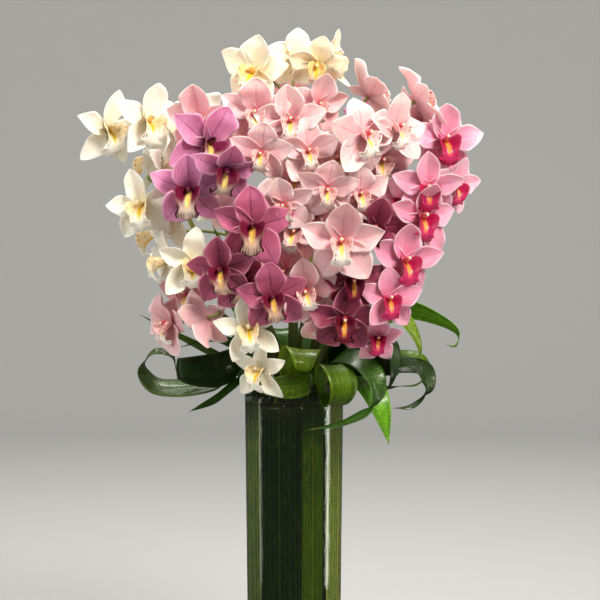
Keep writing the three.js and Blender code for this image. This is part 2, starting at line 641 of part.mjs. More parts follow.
// Everything is made twice: true to size, and grown by the clearance, to cut its neighbours clear
const sprays = SPRAYS.map((spray) => {
  const frames = spray.blooms.map((row) => bloomFrame(row, spray.behind));
  const { breadth } = KINDS[spray.kind];
  const bloom = (frame, i, grow) => bloomSolid(frame, spray.blooms[i], i, breadth, grow);
  const blooms = (grow) => joined(frames.map((frame, i) => bloom(frame, i, grow)));
  return {
    ...spray,
    stems: skeleton(spray, frames, 0),
    stemsGrown: skeleton(spray, frames, CLEARANCE),
    petals: blooms(0),
    petalsGrown: blooms(CLEARANCE),
  };
});

const collar = [...LEAVES, ...BACK_LOOPS.map((angle, i) => backLoop(angle, i + 1))].map((leaf) => ({
  name: leaf.name,
  solid: leafSolid(leaf, 0),
  grown: leafSolid(leaf, CLEARANCE),
}));

const liners = LINERS.map((liner) => ({
  name: liner.name,
  solid: linerSolid(liner, 0),
  grown: linerSolid(liner, CLEARANCE),
}));

const LEAF_FINISH = { color: 0x2f5a1e, roughness: 0.35, metalness: 0 };
const LINER_FINISH = { color: 0x4c6a24, roughness: 0.45, metalness: 0 };
const GLASS_FINISH = { color: 0xe6efe9, roughness: 0.03, metalness: 0, transparent: true, opacity: 0.3 };
const WATER_FINISH = { color: 0xdfeee6, roughness: 0.02, metalness: 0, transparent: true, opacity: 0.4 };

const bouquet = new THREE.Group();
bouquet.add(meshOf("vase", vaseSolid(), GLASS_FINISH));
const standing = [...sprays.map((spray) => spray.stemsGrown), ...collar.map((leaf) => leaf.grown)];
const water = cutClear(waterSolid(), [...standing, ...liners.map((liner) => liner.grown)]);
bouquet.add(meshOf("water", mainBody(water), WATER_FINISH));
for (const liner of liners) {
  bouquet.add(meshOf(liner.name, liner.solid, LINER_FINISH));
}

const allStems = sprays.map((spray) => spray.stemsGrown);
collar.forEach((leaf, i) => {
  const earlier = collar.slice(0, i).map((other) => other.grown);
  const solid = mainBody(cutClear(leaf.solid, [...allStems, ...earlier]));
  bouquet.add(meshOf(leaf.name, solid, LEAF_FINISH));
});

sprays.forEach((spray, i) => {
  const otherStems = allStems.filter((stems, j) => j !== i);
  const earlier = sprays.slice(0, i).map((other) => other.petalsGrown);
  const petals = cutClear(spray.petals, [...otherStems, ...collar.map((leaf) => leaf.grown), ...earlier]);
  const finish = { color: KINDS[spray.kind].colour, roughness: 0.6, metalness: 0 };
  bouquet.add(meshOf(spray.name, mainBody(spray.stems.add(petals)), finish));
});

export default bouquet;
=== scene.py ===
# Cymbidium sprays in a tall clear glass vase, over a collar of looped strap leaves.
# The tables are in millimetres, as the frame's own source has them, and the meshes in metres.
import math

import bpy
import numpy as np
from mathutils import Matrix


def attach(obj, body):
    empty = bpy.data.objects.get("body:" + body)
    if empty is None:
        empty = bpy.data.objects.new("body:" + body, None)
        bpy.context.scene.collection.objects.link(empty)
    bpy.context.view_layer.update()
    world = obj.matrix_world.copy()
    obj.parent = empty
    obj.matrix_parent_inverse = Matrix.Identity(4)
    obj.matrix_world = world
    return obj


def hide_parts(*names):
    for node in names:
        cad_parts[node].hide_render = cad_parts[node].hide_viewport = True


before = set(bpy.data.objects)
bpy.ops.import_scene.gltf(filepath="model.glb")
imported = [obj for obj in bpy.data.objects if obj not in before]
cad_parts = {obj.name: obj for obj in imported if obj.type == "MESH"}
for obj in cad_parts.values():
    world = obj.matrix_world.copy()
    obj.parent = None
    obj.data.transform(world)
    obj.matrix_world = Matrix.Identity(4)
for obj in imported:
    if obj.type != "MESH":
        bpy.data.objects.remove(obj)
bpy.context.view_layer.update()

bl_info = {
    "name": "Cymbidium Vase",
    "version": (1, 0, 0),
    "blender": (4, 5, 0),
    "location": "3D View > Sidebar > Orchids",
    "description": "Builds cymbidium sprays, strap leaves, a clear glass vase and its water",
    "category": "Add Mesh",
}

MM = 0.001

# Where the eye stands, and the round mass that the blooms stand on
EYE_DISTANCE = 2400
EYE_HEIGHT = 620
DOME = {"across": 262, "up": 258, "deep": 150, "back": 0.6, "middle": 225}

# The five tepals of a bloom that spans 1 across its petals, in turn from the right-hand side: angle,
# sideways curve, length, half width, forward lean, rise of the tip and of the edges, bluntness, most twist
PETAL = {"length": 0.51, "half": 0.15, "lean": 0.1, "bow": 0.05, "cup": 0.25, "blunt": 0.0, "twist": 0.8}
TOP_SEPAL = {"length": 0.5, "half": 0.175, "lean": 0.14, "bow": 0.12, "cup": 0.35, "blunt": 0.25,
             "twist": 0.25}
LOW_SEPAL = {"length": 0.53, "half": 0.165, "lean": -0.02, "bow": 0.02, "cup": 0.2, "blunt": 0.15,
             "twist": 0.5}
TEPALS = [
    {"angle": 13, "sickle": 0.08, **PETAL},
    {"angle": 90, "sickle": 0.0, **TOP_SEPAL},
    {"angle": 167, "sickle": -0.08, **PETAL},
    {"angle": 232, "sickle": 0.03, **LOW_SEPAL},
    {"angle": 308, "sickle": -0.03, **LOW_SEPAL},
]
TEPAL_NUMBERS = [0, 1, 2, 3, 5]  # the lip is the fourth of the six parts
BOW_SWAY = 0.06
LEAN_MOST = 0.15
OPENNESS = (-0.14, 0.12)  # how much a whole bloom leans its tepals back or forward
# How far one tepal differs from the next: in shares, but for the angle in degrees
SWAY = {"length": 0.05, "half": 0.1, "lean": (-0.22, 0.2), "cup": (-0.3, 0.35), "curl": (-0.14, 0.06),
        "sickle": 0.05, "angle": 7, "ripples": (7, 12)}
TEPAL_LIFT = {"sepal": 0.35, "all": 0.6}  # mm, so that tepals lie over each other
TEPAL_GROOVE = {"depth": 0.9, "breadth": 0.13, "fade": 0.8}  # mm deep, and shares of breadth and length
TEPAL_STEPS = (21, 13)
TEPAL_WIDEST = 0.5
TEPAL_BASE = 0.42
TEPAL_START = 0.03

# The lip's middle line, as up and forward, its half width and the rise of its sides along it, its frilled
# rim and its two ridges, for a span of 1
LIP_LINE = [(-0.01, 0.005), (-0.05, 0.08), (-0.095, 0.15), (-0.165, 0.185), (-0.24, 0.155), (-0.285, 0.085)]
LIP_ALONG = [0.0, 0.18, 0.36, 0.54, 0.74, 0.9, 1.0]
LIP_HALF = [0.045, 0.105, 0.13, 0.085, 0.125, 0.105, 0.015]
LIP_RISE = [0.04, 0.13, 0.15, 0.05, -0.03, -0.045, -0.03]
LIP_FRILL = {"waves": 30, "height": 0.032}
LIP_RIDGE = {"place": 0.17, "breadth": 0.09, "height": 0.014}
LIP_THICKNESS = 0.9  # mm
LIP_STEPS = (25, 19)

# The column's middle line, as up and forward, and its radius, for a span of 1
COLUMN_LINE = [(-0.004, 0.0), (0.012, 0.06), (0.034, 0.125), (0.05, 0.18), (0.046, 0.212), (0.034, 0.224)]
COLUMN_RADIUS = [0.038, 0.033, 0.035, 0.037, 0.03, 0.008]
COLUMN_SIDES = 12
COLUMN_STEPS = 14

# A bloom's depth: its shares of random tone and of painted shade by height, and the heights of full light
# and shade
TONE_AND_SHADE = {"chance": 0.55, "height": 0.45, "young": 300, "old": 150}

STEM = {"radius": 4, "foot": 30, "gather": 0.8, "sides": 12, "steps": 8}
STEM_TAPER = [(0, 0.6, 1), (1.0, 0.92, 0.6)]  # places along a stem, and the share of its radius at each
PEDICEL = {"radius": 1.9, "drop": 26, "knee": 0.55, "sides": 8, "steps": 12, "flare": 0.35}
CURVE_SAMPLES = 40  # places worked out between two points of a curve

# Kinds of bloom: breadth of the tepals, size of the lip and name of the record's slot
KINDS = {
    "white": {"breadth": 0.88, "lip": 1.25, "slot": "petal_white"},
    "cream": {"breadth": 1.15, "lip": 1.15, "slot": "petal_cream"},
    "magenta": {"breadth": 1.12, "lip": 1.3, "slot": "petal_magenta"},
    "wine": {"breadth": 1.14, "lip": 1.25, "slot": "petal_magenta"},
    "blush": {"breadth": 1.2, "lip": 1.05, "slot": "petal_blush"},
    "rose": {"breadth": 1.08, "lip": 1.2, "slot": "petal_rose"},
    "plum": {"breadth": 1.15, "lip": 1.15, "slot": "petal_plum"},
}

# Each bloom is across and up from the middle of the rim as the eye sees it, lift off the dome, turn to the
# right, tilt upward, roll to the right, and span.
SPRAYS = [
    {"name": "spray_white_left", "kind": "white",
     "stem": [(-43, 4, 0), (-52, 5, 60), (-104, -2, 156), (-140, -18, 238), (-176, -20, 310),
              (-200, -20, 342)],
     "blooms": [
         (-240, 339, 10, 34, 0, 0, 96), (-188, 350, 6, 26, 4, 12, 96), (-152, 334, -34, 22, 5, -20, 86),
         (-169, 285, -8, 68, 12, 8, 90), (-195, 243, 10, -12, -4, -12, 90),
         (-160, 230, -36, -25, -18, 10, 82), (-163, 169, 0, -66, 0, 4, 78),
         (-132, 169, 14, 8, -12, 4, 88)]},
    {"name": "spray_cream_top", "kind": "cream",
     "stem": [(2, 8, 0), (0, 12, 150), (-5, 12, 280), (-6, 6, 380), (4, 2, 415)],
     "blooms": [
         (-50, 412, 10, -22, 4, 10, 92), (4, 432, 12, 4, -6, -4, 74), (30, 424, 34, -6, -30, 12, 76),
         (46, 428, -30, 66, 8, 10, 76)]},
    {"name": "spray_magenta_high", "kind": "magenta",
     "stem": [(-19, -10, 0), (-48, -32, 110), (-84, -72, 210), (-104, -88, 280), (-112, -92, 312)],
     "blooms": [
         (-111, 322, 26, 24, 0, 26, 98), (-134, 262, 26, -4, -12, 0, 96), (-88, 290, 34, 8, -36, 10, 88)]},
    {"name": "spray_magenta_low", "kind": "wine",
     "stem": [(-15, -40, 0), (-20, -50, 60), (-44, -106, 126), (-56, -136, 185), (-54, -146, 210)],
     "blooms": [
         (-53, 215, 30, 0, -6, 0, 100), (-94, 161, 32, -6, -18, -6, 88), (-28, 125, 24, 4, -14, -8, 88),
         (-62, 143, -6, 0, -8, 12, 84)]},
    {"name": "spray_blush_left", "kind": "blush",
     "stem": [(-19, 11, 0), (-42, 4, 120), (-72, -32, 220), (-84, -58, 300), (-96, -66, 338)],
     "blooms": [
         (-121, 350, 8, -14, 0, 4, 88), (-67, 324, -20, -18, -4, 0, 78), (-89, 239, -22, 158, 34, 0, 76)]},
    {"name": "spray_blush_centre", "kind": "blush",
     "stem": [(-4, -22, 0), (-4, -48, 120), (-8, -84, 220), (-6, -92, 300), (0, -88, 352)],
     "blooms": [
         (-48, 362, 20, -6, -14, 0, 90), (-4, 350, 20, 0, -4, 0, 88), (31, 372, 10, 10, -14, 6, 78),
         (-42, 311, 24, -6, -22, 8, 80), (18, 311, 14, 8, -6, -8, 80), (3, 275, -12, -6, -12, 14, 80)]},
    {"name": "spray_blush_heart", "kind": "blush",
     "stem": [(4, -43, 0), (6, -50, 60), (16, -92, 126), (22, -114, 195), (26, -120, 250)],
     "blooms": [
         (43, 264, 22, 0, -20, 6, 80), (-14, 243, 16, 0, -18, -10, 78), (-1, 208, -8, -4, -8, 20, 86),
         (28, 228, -8, -10, -22, 0, 76), (15, 133, 9, 2, -18, -14, 86), (36, 97, -8, 0, -30, 4, 76),
         (-14, 156, -16, -4, -8, 20, 84)]},
    {"name": "spray_blush_front", "kind": "blush",
     "stem": [(16, -16, 0), (32, -44, 100), (60, -92, 190), (76, -106, 250), (86, -104, 296)],
     "blooms": [
         (61, 195, 34, 0, -5, 0, 102), (59, 303, -2, -14, -10, 6, 82), (86, 257, 8, 4, -10, -6, 76),
         (111, 303, -9, 12, -20, 0, 98)]},
    {"name": "spray_blush_right", "kind": "blush",
     "stem": [(22, 4, 0), (42, 2, 130), (84, -26, 240), (110, -46, 320), (126, -48, 362)],
     "blooms": [
         (95, 381, 4, 118, 44, 8, 92), (155, 375, 12, 104, 32, 0, 92), (88, 330, 42, 34, 2, 0, 96),
         (128, 339, 30, 40, 4, 4, 86), (163, 342, -26, 44, 4, 10, 84)]},
    {"name": "spray_rose_right", "kind": "rose",
     "stem": [(43, -6, 0), (52, -7, 60), (112, -16, 152), (154, -26, 236), (180, -30, 306)],
     "blooms": [
         (194, 325, 14, 10, 0, 0, 94), (172, 266, 22, 4, -14, 0, 88), (204, 268, 2, 36, -10, 10, 74),
         (164, 228, 18, 18, -8, 10, 90), (143, 249, -18, -14, -6, -10, 78)]},
    {"name": "spray_rose_low", "kind": "rose",
     "stem": [(35, -25, 0), (43, -32, 60), (88, -64, 118), (116, -80, 166)],
     "blooms": [(141, 171, 22, 20, -4, 4, 92), (122, 122, 32, 12, -6, 0, 78), (108, 71, 14, 4, -8, 0, 64)]},
    {"name": "spray_plum_right", "kind": "plum",
     "stem": [(21, -37, 0), (27, -46, 60), (60, -94, 128), (88, -112, 188), (98, -116, 215)],
     "blooms": [(104, 215, 8, 0, -18, 10, 86), (76, 148, 14, 6, -22, -4, 86), (65, 97, 18, 0, -20, 6, 92)]},
    {"name": "spray_blush_low", "kind": "blush",
     "stem": [(-40, -16, 0), (-50, -22, 58), (-94, -50, 106), (-124, -62, 114)],
     "blooms": [
         (-157, 88, 14, -52, -4, 0, 86), (-112, 97, 18, -120, -14, 0, 80),
         (-137, 126, -18, -18, 0, 0, 76)]},
    {"name": "spray_white_low", "kind": "white",
     "stem": [(-29, -32, 0), (-34, -42, 58), (-44, -78, 92), (-52, -106, 90), (-50, -122, 66)],
     "blooms": [(-58, 84, 20, 0, -4, -10, 84), (-41, 30, 22, -34, -4, 6, 76)]},
    {"name": "spray_back_white", "kind": "white", "behind": True,
     "stem": [(-33, 28, 0), (-38, 33, 60), (-80, 46, 190), (-106, 46, 285), (-104, 44, 338)],
     "blooms": [
         (-178, 296, -96, 266, 4, 0, 92), (-112, 352, -34, 206, 30, 0, 90),
         (-176, 205, -104, 262, -10, 0, 90), (-104, 262, 6, 196, -2, 0, 94)]},
    {"name": "spray_back_blush", "kind": "blush", "behind": True,
     "stem": [(0, 43, 0), (1, 48, 60), (6, 58, 200), (0, 56, 315), (-8, 50, 380)],
     "blooms": [
         (-16, 396, -38, 180, 46, 0, 92), (24, 322, 6, 172, 4, 0, 94), (-30, 236, 8, 186, -6, 0, 94),
         (38, 168, 4, 172, -12, 0, 88)]},
    {"name": "spray_back_magenta", "kind": "magenta", "behind": True,
     "stem": [(35, 25, 0), (41, 30, 60), (84, 46, 195), (110, 48, 285), (108, 46, 336)],
     "blooms": [
         (170, 306, -96, 96, 4, 0, 94), (106, 350, -34, 156, 30, 0, 92), (160, 196, -110, 98, -10, 0, 90),
         (104, 254, 6, 164, -2, 0, 94)]},
]

# Collar leaves: root angle round the rim from the front, breadth, the way the blade is broad, its path as
# across, depth and up from the middle of the rim, and its shade of green, lighter or darker as painted light
# and shade
LEAVES = [
    {"name": "leaf_ring_left", "root": -84, "breadth": 38, "broad": (0.3, 0.75, 0.5), "shade": "grey",
     "path": [(-74, -18, 34), (-108, -40, 18), (-150, -46, 12), (-178, -46, 16), (-191, -46, 36),
              (-176, -46, 56), (-154, -45, 50), (-150, -44, 34)]},
    {"name": "leaf_roll_left", "root": -58, "breadth": 46, "broad": (0, -0.25, 1), "shade": "deep",
     "path": [(-62, -44, 40), (-98, -76, 34), (-134, -78, 34), (-148, -64, 36), (-132, -52, 36),
              (-104, -50, 34)]},
    {"name": "leaf_tip_left", "root": -71, "breadth": 20, "broad": (0.3, -0.4, 0.9), "shade": "dark",
     "path": [(-66, -27, 17), (-100, -58, -4), (-132, -66, -18)]},
    {"name": "leaf_shelf_left", "root": -46, "breadth": 32, "broad": (0.3, -0.8, 0.4), "shade": "dark",
     "path": [(-50, -64, 46), (-92, -94, 74), (-140, -98, 66)]},
    {"name": "leaf_fold_front", "root": -8, "breadth": 50, "broad": (1, 0.1, -0.1), "shade": "bright",
     "path": [(2, -64, 40), (10, -82, 61), (12, -102, 56), (12, -110, 44), (12, -98, 36), (12, -88, 40)]},
    {"name": "leaf_band_front", "root": 17, "breadth": 31, "broad": (0, 0.1, 1), "shade": "mid",
     "path": [(22, -70, 22), (4, -79, 16), (-20, -78, 14), (-44, -67, 14), (-60, -50, 16)]},
    {"name": "leaf_roll_front", "root": 37, "breadth": 44, "broad": (0.84, 0.54, 0), "shade": "mid",
     "path": [(44, -74, 36), (49, -94, 42), (57, -109, 32), (60, -114, 14), (54, -104, -3), (42, -86, -5),
              (38, -76, 10), (42, -84, 26)]},
    {"name": "leaf_band_right", "root": 55.5, "breadth": 34, "broad": (0.8, 0.6, 0), "shade": "deep",
     "path": [(61, -40, 65), (94, -65, 78), (119, -92, 69), (124, -102, 44), (120, -96, 20),
              (114, -86, 10)]},
    {"name": "leaf_striped_right", "root": 73, "breadth": 36, "broad": (0.2, 0.15, 1), "shade": "deep",
     "path": [(66, -34, 38), (90, -70, 44), (118, -86, 42), (131, -74, 38), (118, -60, 34),
              (100, -56, 34)]},
    {"name": "leaf_arch_right", "root": 99, "breadth": 34, "broad": (0.6, 0.65, 0.4), "shade": "bright",
     "path": [(76, 3, 48), (108, -22, 86), (134, -36, 100), (154, -40, 76), (160, -34, 52),
              (152, -28, 42)]},
    {"name": "leaf_tuck_right", "root": 90, "breadth": 29, "broad": (0.45, 0.6, 0.6), "shade": "deep",
     "path": [(84, -15, 36), (132, -32, 37), (164, -46, 34), (168, -62, 12), (148, -74, -10),
              (124, -82, -12)]},
    {"name": "leaf_ring_right", "root": 114, "breadth": 24, "broad": (0.3, 0.85, 0.4), "shade": "mid",
     "path": [(86, 12, 28), (132, 4, 48), (162, -4, 46), (173, -6, 30), (160, -2, 12), (134, 4, 8)]},
    {"name": "leaf_point_right", "root": 82, "breadth": 16, "broad": (0.2, -0.6, 0.7), "shade": "dark",
     "path": [(74, -18, 14), (104, -42, 10), (134, -54, 13)]},
    {"name": "leaf_long_right", "root": 128, "breadth": 36, "broad": (0.1, -0.6, 0.8), "shade": "young",
     "path": [(78, 16, 70), (134, 8, 108), (182, -16, 98), (210, -28, 78), (206, -28, 62), (194, -26, 64)]},
    {"name": "leaf_hanging_right", "root": 64, "breadth": 38, "broad": (0.95, 0.3, 0.1), "shade": "young",
     "path": [(66, -44, 22), (94, -65, 14), (108, -77, -12), (119, -75, -58)]},
    {"name": "leaf_across_front", "root": 46.5, "breadth": 29, "broad": (0.5, 0.6, 0.6), "shade": "dark",
     "path": [(50, -62, 46), (78, -90, 50), (101, -110, 26), (96, -120, -4), (64, -124, -24),
              (18, -112, -36)]},
    {"name": "leaf_among_blooms", "root": -104, "breadth": 30, "broad": (0.8, -0.5, 0.1), "shade": "young",
     "path": [(-60, -18, 74), (-75, -49, 152), (-101, -92, 217)]},
    {"name": "leaf_tip_far_left", "root": -114, "breadth": 16, "broad": (0.3, -0.7, 0.6), "shade": "mid",
     "path": [(-92, -10, 44), (-148, -30, 76), (-196, -36, 103)]},
]
BACK_LOOPS = [148, 168, -170, -146]
BACK_LOOP_BREADTH = 30
BACK_LOOP_PATH = [(66, 28), (94, 74), (122, 72), (134, 32), (113, 3), (92, 13)]
ROOT = {"depth": 45, "rise": 9, "half": 3.5, "thickness": 2.4}
# A blade: its thickness, depth of trough, shares of its length in which it turns and in which it bends off
# the root, fullness of its outline, roundness of the trough and how much its edges thin
BLADE = {"thickness": 1, "trough": 0.12, "settle": 0.3, "bend": 0.06, "fullness": 0.75, "round": 1.4,
         "thin": 0.75}
BLADE_STEPS = (64, 11)
BLADE_TIP = 0.4  # half width that is left at a blade's point

# Leaves that line the glass: angle from the front at both edges, layer from the glass inward, shade of green
LINERS = [
    {"name": "liner_left", "from": -96, "to": -47, "layer": 0, "shade": "lined_grey"},
    {"name": "liner_dark_front", "from": -45, "to": 8, "layer": 0, "shade": "lined_dark"},
    {"name": "liner_bright_front", "from": 10, "to": 38, "layer": 0, "shade": "lined_green"},
    {"name": "liner_right", "from": 46, "to": 94, "layer": 0, "shade": "lined_yellow"},
    {"name": "liner_back_right", "from": 97, "to": 140, "layer": 0, "shade": "lined_green"},
    {"name": "liner_back", "from": 143, "to": 196, "layer": 0, "shade": "lined_dark"},
    {"name": "liner_back_left", "from": 199, "to": 260, "layer": 0, "shade": "lined_green"},
    {"name": "liner_inner_front", "from": 14, "to": 57, "layer": 1, "shade": "lined_dark"},
]
LINER = {"bottom": 24, "top": 398, "thickness": 0.9, "gap": 0.7, "layer": 1.5, "taper": 0.45,
         "shoulder": 0.22, "facet": 17}
# Shades of the lining leaves; those at the sides are painted paler, as painted light where light falls
# through them
LINING_SHADES = {"lined_grey": "b8c87c", "lined_dark": "324604", "lined_green": "6c880c",
                 "lined_yellow": "d2de74"}
LINER_STEPS = (40, 17)
CLEARANCE = 0.35


def linear(code):
    """The linear colour of an sRGB hex code such as 'f3eee2'."""
    parts = [int(code[i:i + 2], 16) / 255 for i in (0, 2, 4)]
    return tuple(part / 12.92 if part <= 0.04045 else ((part + 0.055) / 1.055) ** 2.4 for part in parts)


def colour_property(name, description, code):
    return bpy.props.FloatVectorProperty(
        name=name, description=description, subtype="COLOR", size=3, min=0, max=1, default=linear(code))


def length_property(name, description, millimetres):
    return bpy.props.FloatProperty(
        name=name, description=description, unit="LENGTH", subtype="DISTANCE", min=0, precision=4,
        default=millimetres * MM)


class OrchidSizes(bpy.types.PropertyGroup):
    """Sizes of the vase, the petals and the leaves"""
    vase_height: length_property("Vase height", "Height of the glass from its foot to its rim", 406)
    rim_radius: length_property("Rim radius", "Outer radius of the glass at its rim", 63.5)
    foot_radius: length_property("Foot radius", "Outer radius of the glass at its foot", 59)
    wall: length_property("Wall", "Thickness of the glass wall", 4.5)
    floor: length_property("Floor", "Thickness of the glass floor", 16)
    water_level: length_property("Water level", "Height of the water above the foot", 352)
    petal_thickness: length_property("Petal thickness", "Thickness of a petal at its middle", 1.1)
    petal_wave: length_property("Petal wave", "How far a petal's margin waves out of its own curve", 1.9)


class OrchidColours(bpy.types.PropertyGroup):
    """Colours of the petals, the leaves and the stage"""
    white: colour_property("White petal", "Body of the white petals", "f4f1e8")
    cream: colour_property("Cream petal", "Body of the cream petals", "f6eed8")
    magenta: colour_property("Magenta petal", "Body of the magenta petals", "d084ae")
    wine: colour_property("Wine petal", "Body of the dusty magenta petals lower down", "c4608a")
    blush: colour_property("Blush petal", "Body of the pale pink petals", "f0c8cc")
    rose: colour_property("Rose petal", "Body of the rose petals", "f0aec8")
    plum: colour_property("Plum petal", "Body of the plum petals", "a03860")
    stem: colour_property("Stem", "Stems and flower stalks", "8b9a45")
    # Painted light and shade: the greens before grey are one leaf, lit or shaded; grey is its paler
    # underside
    young: colour_property("Young leaf", "Youngest collar leaves, a clear green", "5c9a1e")
    bright: colour_property("Bright leaf", "Yellow-green collar leaves", "668612")
    mid: colour_property("Green leaf", "Common collar leaves", "48680c")
    dark: colour_property("Dark leaf", "Shaded collar leaves", "244a08")
    deep: colour_property("Deepest leaf", "Oldest collar leaves, almost black", "142c06")
    grey: colour_property("Grey leaf", "Undersides of collar leaves", "4c6436")
    floor: colour_property("Floor", "Plain pale floor and backdrop", "a8a9a8")


# Curves

def smooth_line(points, count):
    """Places and directions at even steps along a centripetal Catmull-Rom curve through points."""
    points = np.array(points, float)
    ends = [2 * points[0] - points[1], *points, 2 * points[-1] - points[-2]]
    dense = []
    share = np.linspace(0, 1, CURVE_SAMPLES, endpoint=False)[:, None]
    for a, b, c, d in zip(ends, ends[1:], ends[2:], ends[3:]):
        gaps = [max(np.linalg.norm(q - p) ** 0.5, 1e-3) for p, q in ((a, b), (b, c), (c, d))]
        leave = (b - a) / gaps[0] - (c - a) / (gaps[0] + gaps[1]) + (c - b) / gaps[1]
        arrive = (c - b) / gaps[1] - (d - b) / (gaps[1] + gaps[2]) + (d - c) / gaps[2]
        leave, arrive = leave * gaps[1], arrive * gaps[1]
        bend = -3 * b + 3 * c - 2 * leave - arrive
        turn = 2 * b - 2 * c + leave + arrive
        dense.append(b + leave * share + bend * share ** 2 + turn * share ** 3)
    dense = np.vstack([*dense, points[-1:]])
    run = np.concatenate([[0], np.cumsum(np.linalg.norm(np.diff(dense, axis=0), axis=1))])
    even = np.linspace(0, run[-1], count)
    places = np.stack([np.interp(even, run, dense[:, axis]) for axis in range(3)], axis=1)
    ways = np.gradient(places, axis=0)
    return places, ways / np.linalg.norm(ways, axis=1, keepdims=True)


def bent_line(start, knee, end, count):
    """Places and directions along a curve that leaves start toward knee and arrives at end."""
    share = np.linspace(0, 1, count)[:, None]
    places = (1 - share) ** 2 * start + 2 * share * (1 - share) * knee + share ** 2 * end
    ways = np.gradient(places, axis=0)
    return places, ways / np.linalg.norm(ways, axis=1, keepdims=True)


def unit(vector):
    return vector / np.linalg.norm(vector)


def smoothstep(value, low, high):
    share = np.clip((value - low) / (high - low), 0, 1)
    return share * share * (3 - 2 * share)


def around(angle, radius, height):
    """A place round the vase: an angle from the front, which is -Y, toward the right, which is +X."""
    turn = math.radians(angle)
    return np.array([math.sin(turn) * radius, -math.cos(turn) * radius, height])


# Meshes

class Skin:
    """Gathers closed sheets, tubes and turned forms into one mesh, with a finish and a UV on every face."""

    def __init__(self):
        self.points = []
        self.faces = []
        self.uvs = []
        self.finishes = []
        self.tints = []
        self.count = 0

    def add(self, points, faces, uvs, finish, tint):
        """Points, faces as corner numbers, and the UV of every point, all of one finish."""
        if enclosed(points, faces) < 0:
            faces = [face[::-1] for face in faces]
        self.points.append(points)
        self.tints.append(np.full(len(points), tint))
        for face in faces:
            self.faces.append([corner + self.count for corner in face])
            self.finishes.append(finish)
            self.uvs.extend(uvs[corner] for corner in face)
        self.count += len(points)

    def sheet(self, top, bottom, finish, tint=0.0):
        """A thin closed sheet between two grids of places; U runs across it and V along it."""
        rows, columns = top.shape[:2]
        size = rows * columns
        index = np.arange(size).reshape(rows, columns)
        low = index + size
        faces = quads(index)
        faces += [face[::-1] for face in quads(low)]
        for line, under in ((index[0], low[0]), (index[-1][::-1], low[-1][::-1]),
                            (index[:, 0][::-1], low[:, 0][::-1]), (index[:, -1], low[:, -1])):
            for i in range(len(line) - 1):
                faces.append([line[i + 1], line[i], under[i], under[i + 1]])
        v, u = np.meshgrid(np.linspace(0, 1, rows), np.linspace(0, 1, columns), indexing="ij")
        uv = np.stack([u.ravel(), v.ravel()], axis=1)
        points = np.vstack([top.reshape(-1, 3), bottom.reshape(-1, 3)])
        self.add(points, faces, np.vstack([uv, uv]), finish, tint)

    def tube(self, places, ways, radii, sides, finish, tint=0.0):
        """A closed round tube along places, with its own radius at each."""
        side = unit(np.cross(ways[0], (0.31, 0.87, 0.38)))
        turn = np.linspace(0, 2 * math.pi, sides, endpoint=False)
        rings = []
        for place, way, radius in zip(places, ways, radii):
            side = unit(side - way * side.dot(way))
            other = np.cross(way, side)
            rings.append(place + radius * (np.cos(turn)[:, None] * side + np.sin(turn)[:, None] * other))
        self.rings(np.array(rings), finish, tint)

    def rings(self, rings, finish, tint=0.0):
        """A closed skin over round rings of equal count, with both ends closed flat."""
        rows, sides = rings.shape[:2]
        index = np.arange(rows * sides).reshape(rows, sides)
        faces = quads(np.hstack([index, index[:, :1]]))
        faces += [list(index[0][::-1]), list(index[-1])]
        v, u = np.meshgrid(np.linspace(0, 1, rows), np.linspace(0, 1, sides), indexing="ij")
        self.add(rings.reshape(-1, 3), faces, np.stack([u.ravel(), v.ravel()], axis=1), finish, tint)

    def piece(self, name, materials, node):
        """The object, in metres, which stands for one node of the frame."""
        mesh = bpy.data.meshes.new(name)
        places = (np.vstack(self.points) * MM).tolist()
        mesh.from_pydata(places, [], [list(map(int, face)) for face in self.faces])
        layer = mesh.uv_layers.new(name="UVMap")
        layer.data.foreach_set("uv", np.array(self.uvs, np.float32).ravel())
        mesh.polygons.foreach_set("material_index", self.finishes)
        mesh.polygons.foreach_set("use_smooth", [True] * len(self.faces))
        tint = mesh.attributes.new("tint", "FLOAT", "POINT")
        tint.data.foreach_set("value", np.concatenate(self.tints).astype(np.float32))
        for material in materials:
            mesh.materials.append(material)
        mesh.validate()
        made = bpy.data.objects.new(name, mesh)
        bpy.context.scene.collection.objects.link(made)
        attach(made, "root")
        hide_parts(node)
        return made


def quads(index):
    """The faces of a grid of corner numbers."""
    corners = np.stack([index[:-1, :-1], index[:-1, 1:], index[1:, 1:], index[1:, :-1]], axis=-1)
    return corners.reshape(-1, 4).tolist()


def enclosed(points, faces):
    """Six times the volume that the faces hold: below nothing where they face inward."""
    triangles = np.array([
        (face[0], face[i], face[i + 1]) for face in faces for i in range(1, len(face) - 1)])
    a, b, c = (points[triangles[:, i]] for i in range(3))
    return float((a * np.cross(b, c)).sum())


def sides_of(grid, thickness):
    """Two grids half a thickness to either side of a grid of places."""
    along = np.gradient(grid, axis=0)
    across = np.gradient(grid, axis=1)
    normal = np.cross(across, along)
    normal /= np.maximum(np.linalg.norm(normal, axis=2, keepdims=True), 1e-9)
    return grid + normal * thickness[..., None] / 2, grid - normal * thickness[..., None] / 2


# Finishes

def add(tree, kind, inputs=None, **settings):
    """Adds one node; an input is a socket to link or a value to set."""
    made = tree.nodes.new(kind)
    for name, value in settings.items():
        setattr(made, name, value)
    for socket, value in (inputs or {}).items():
        target = made.inputs[socket]
        if isinstance(value, bpy.types.NodeSocket):
            tree.links.new(value, target)
        elif target.type == "RGBA" and len(value) == 3:
            target.default_value = (*value, 1)
        else:
            target.default_value = value
    return made


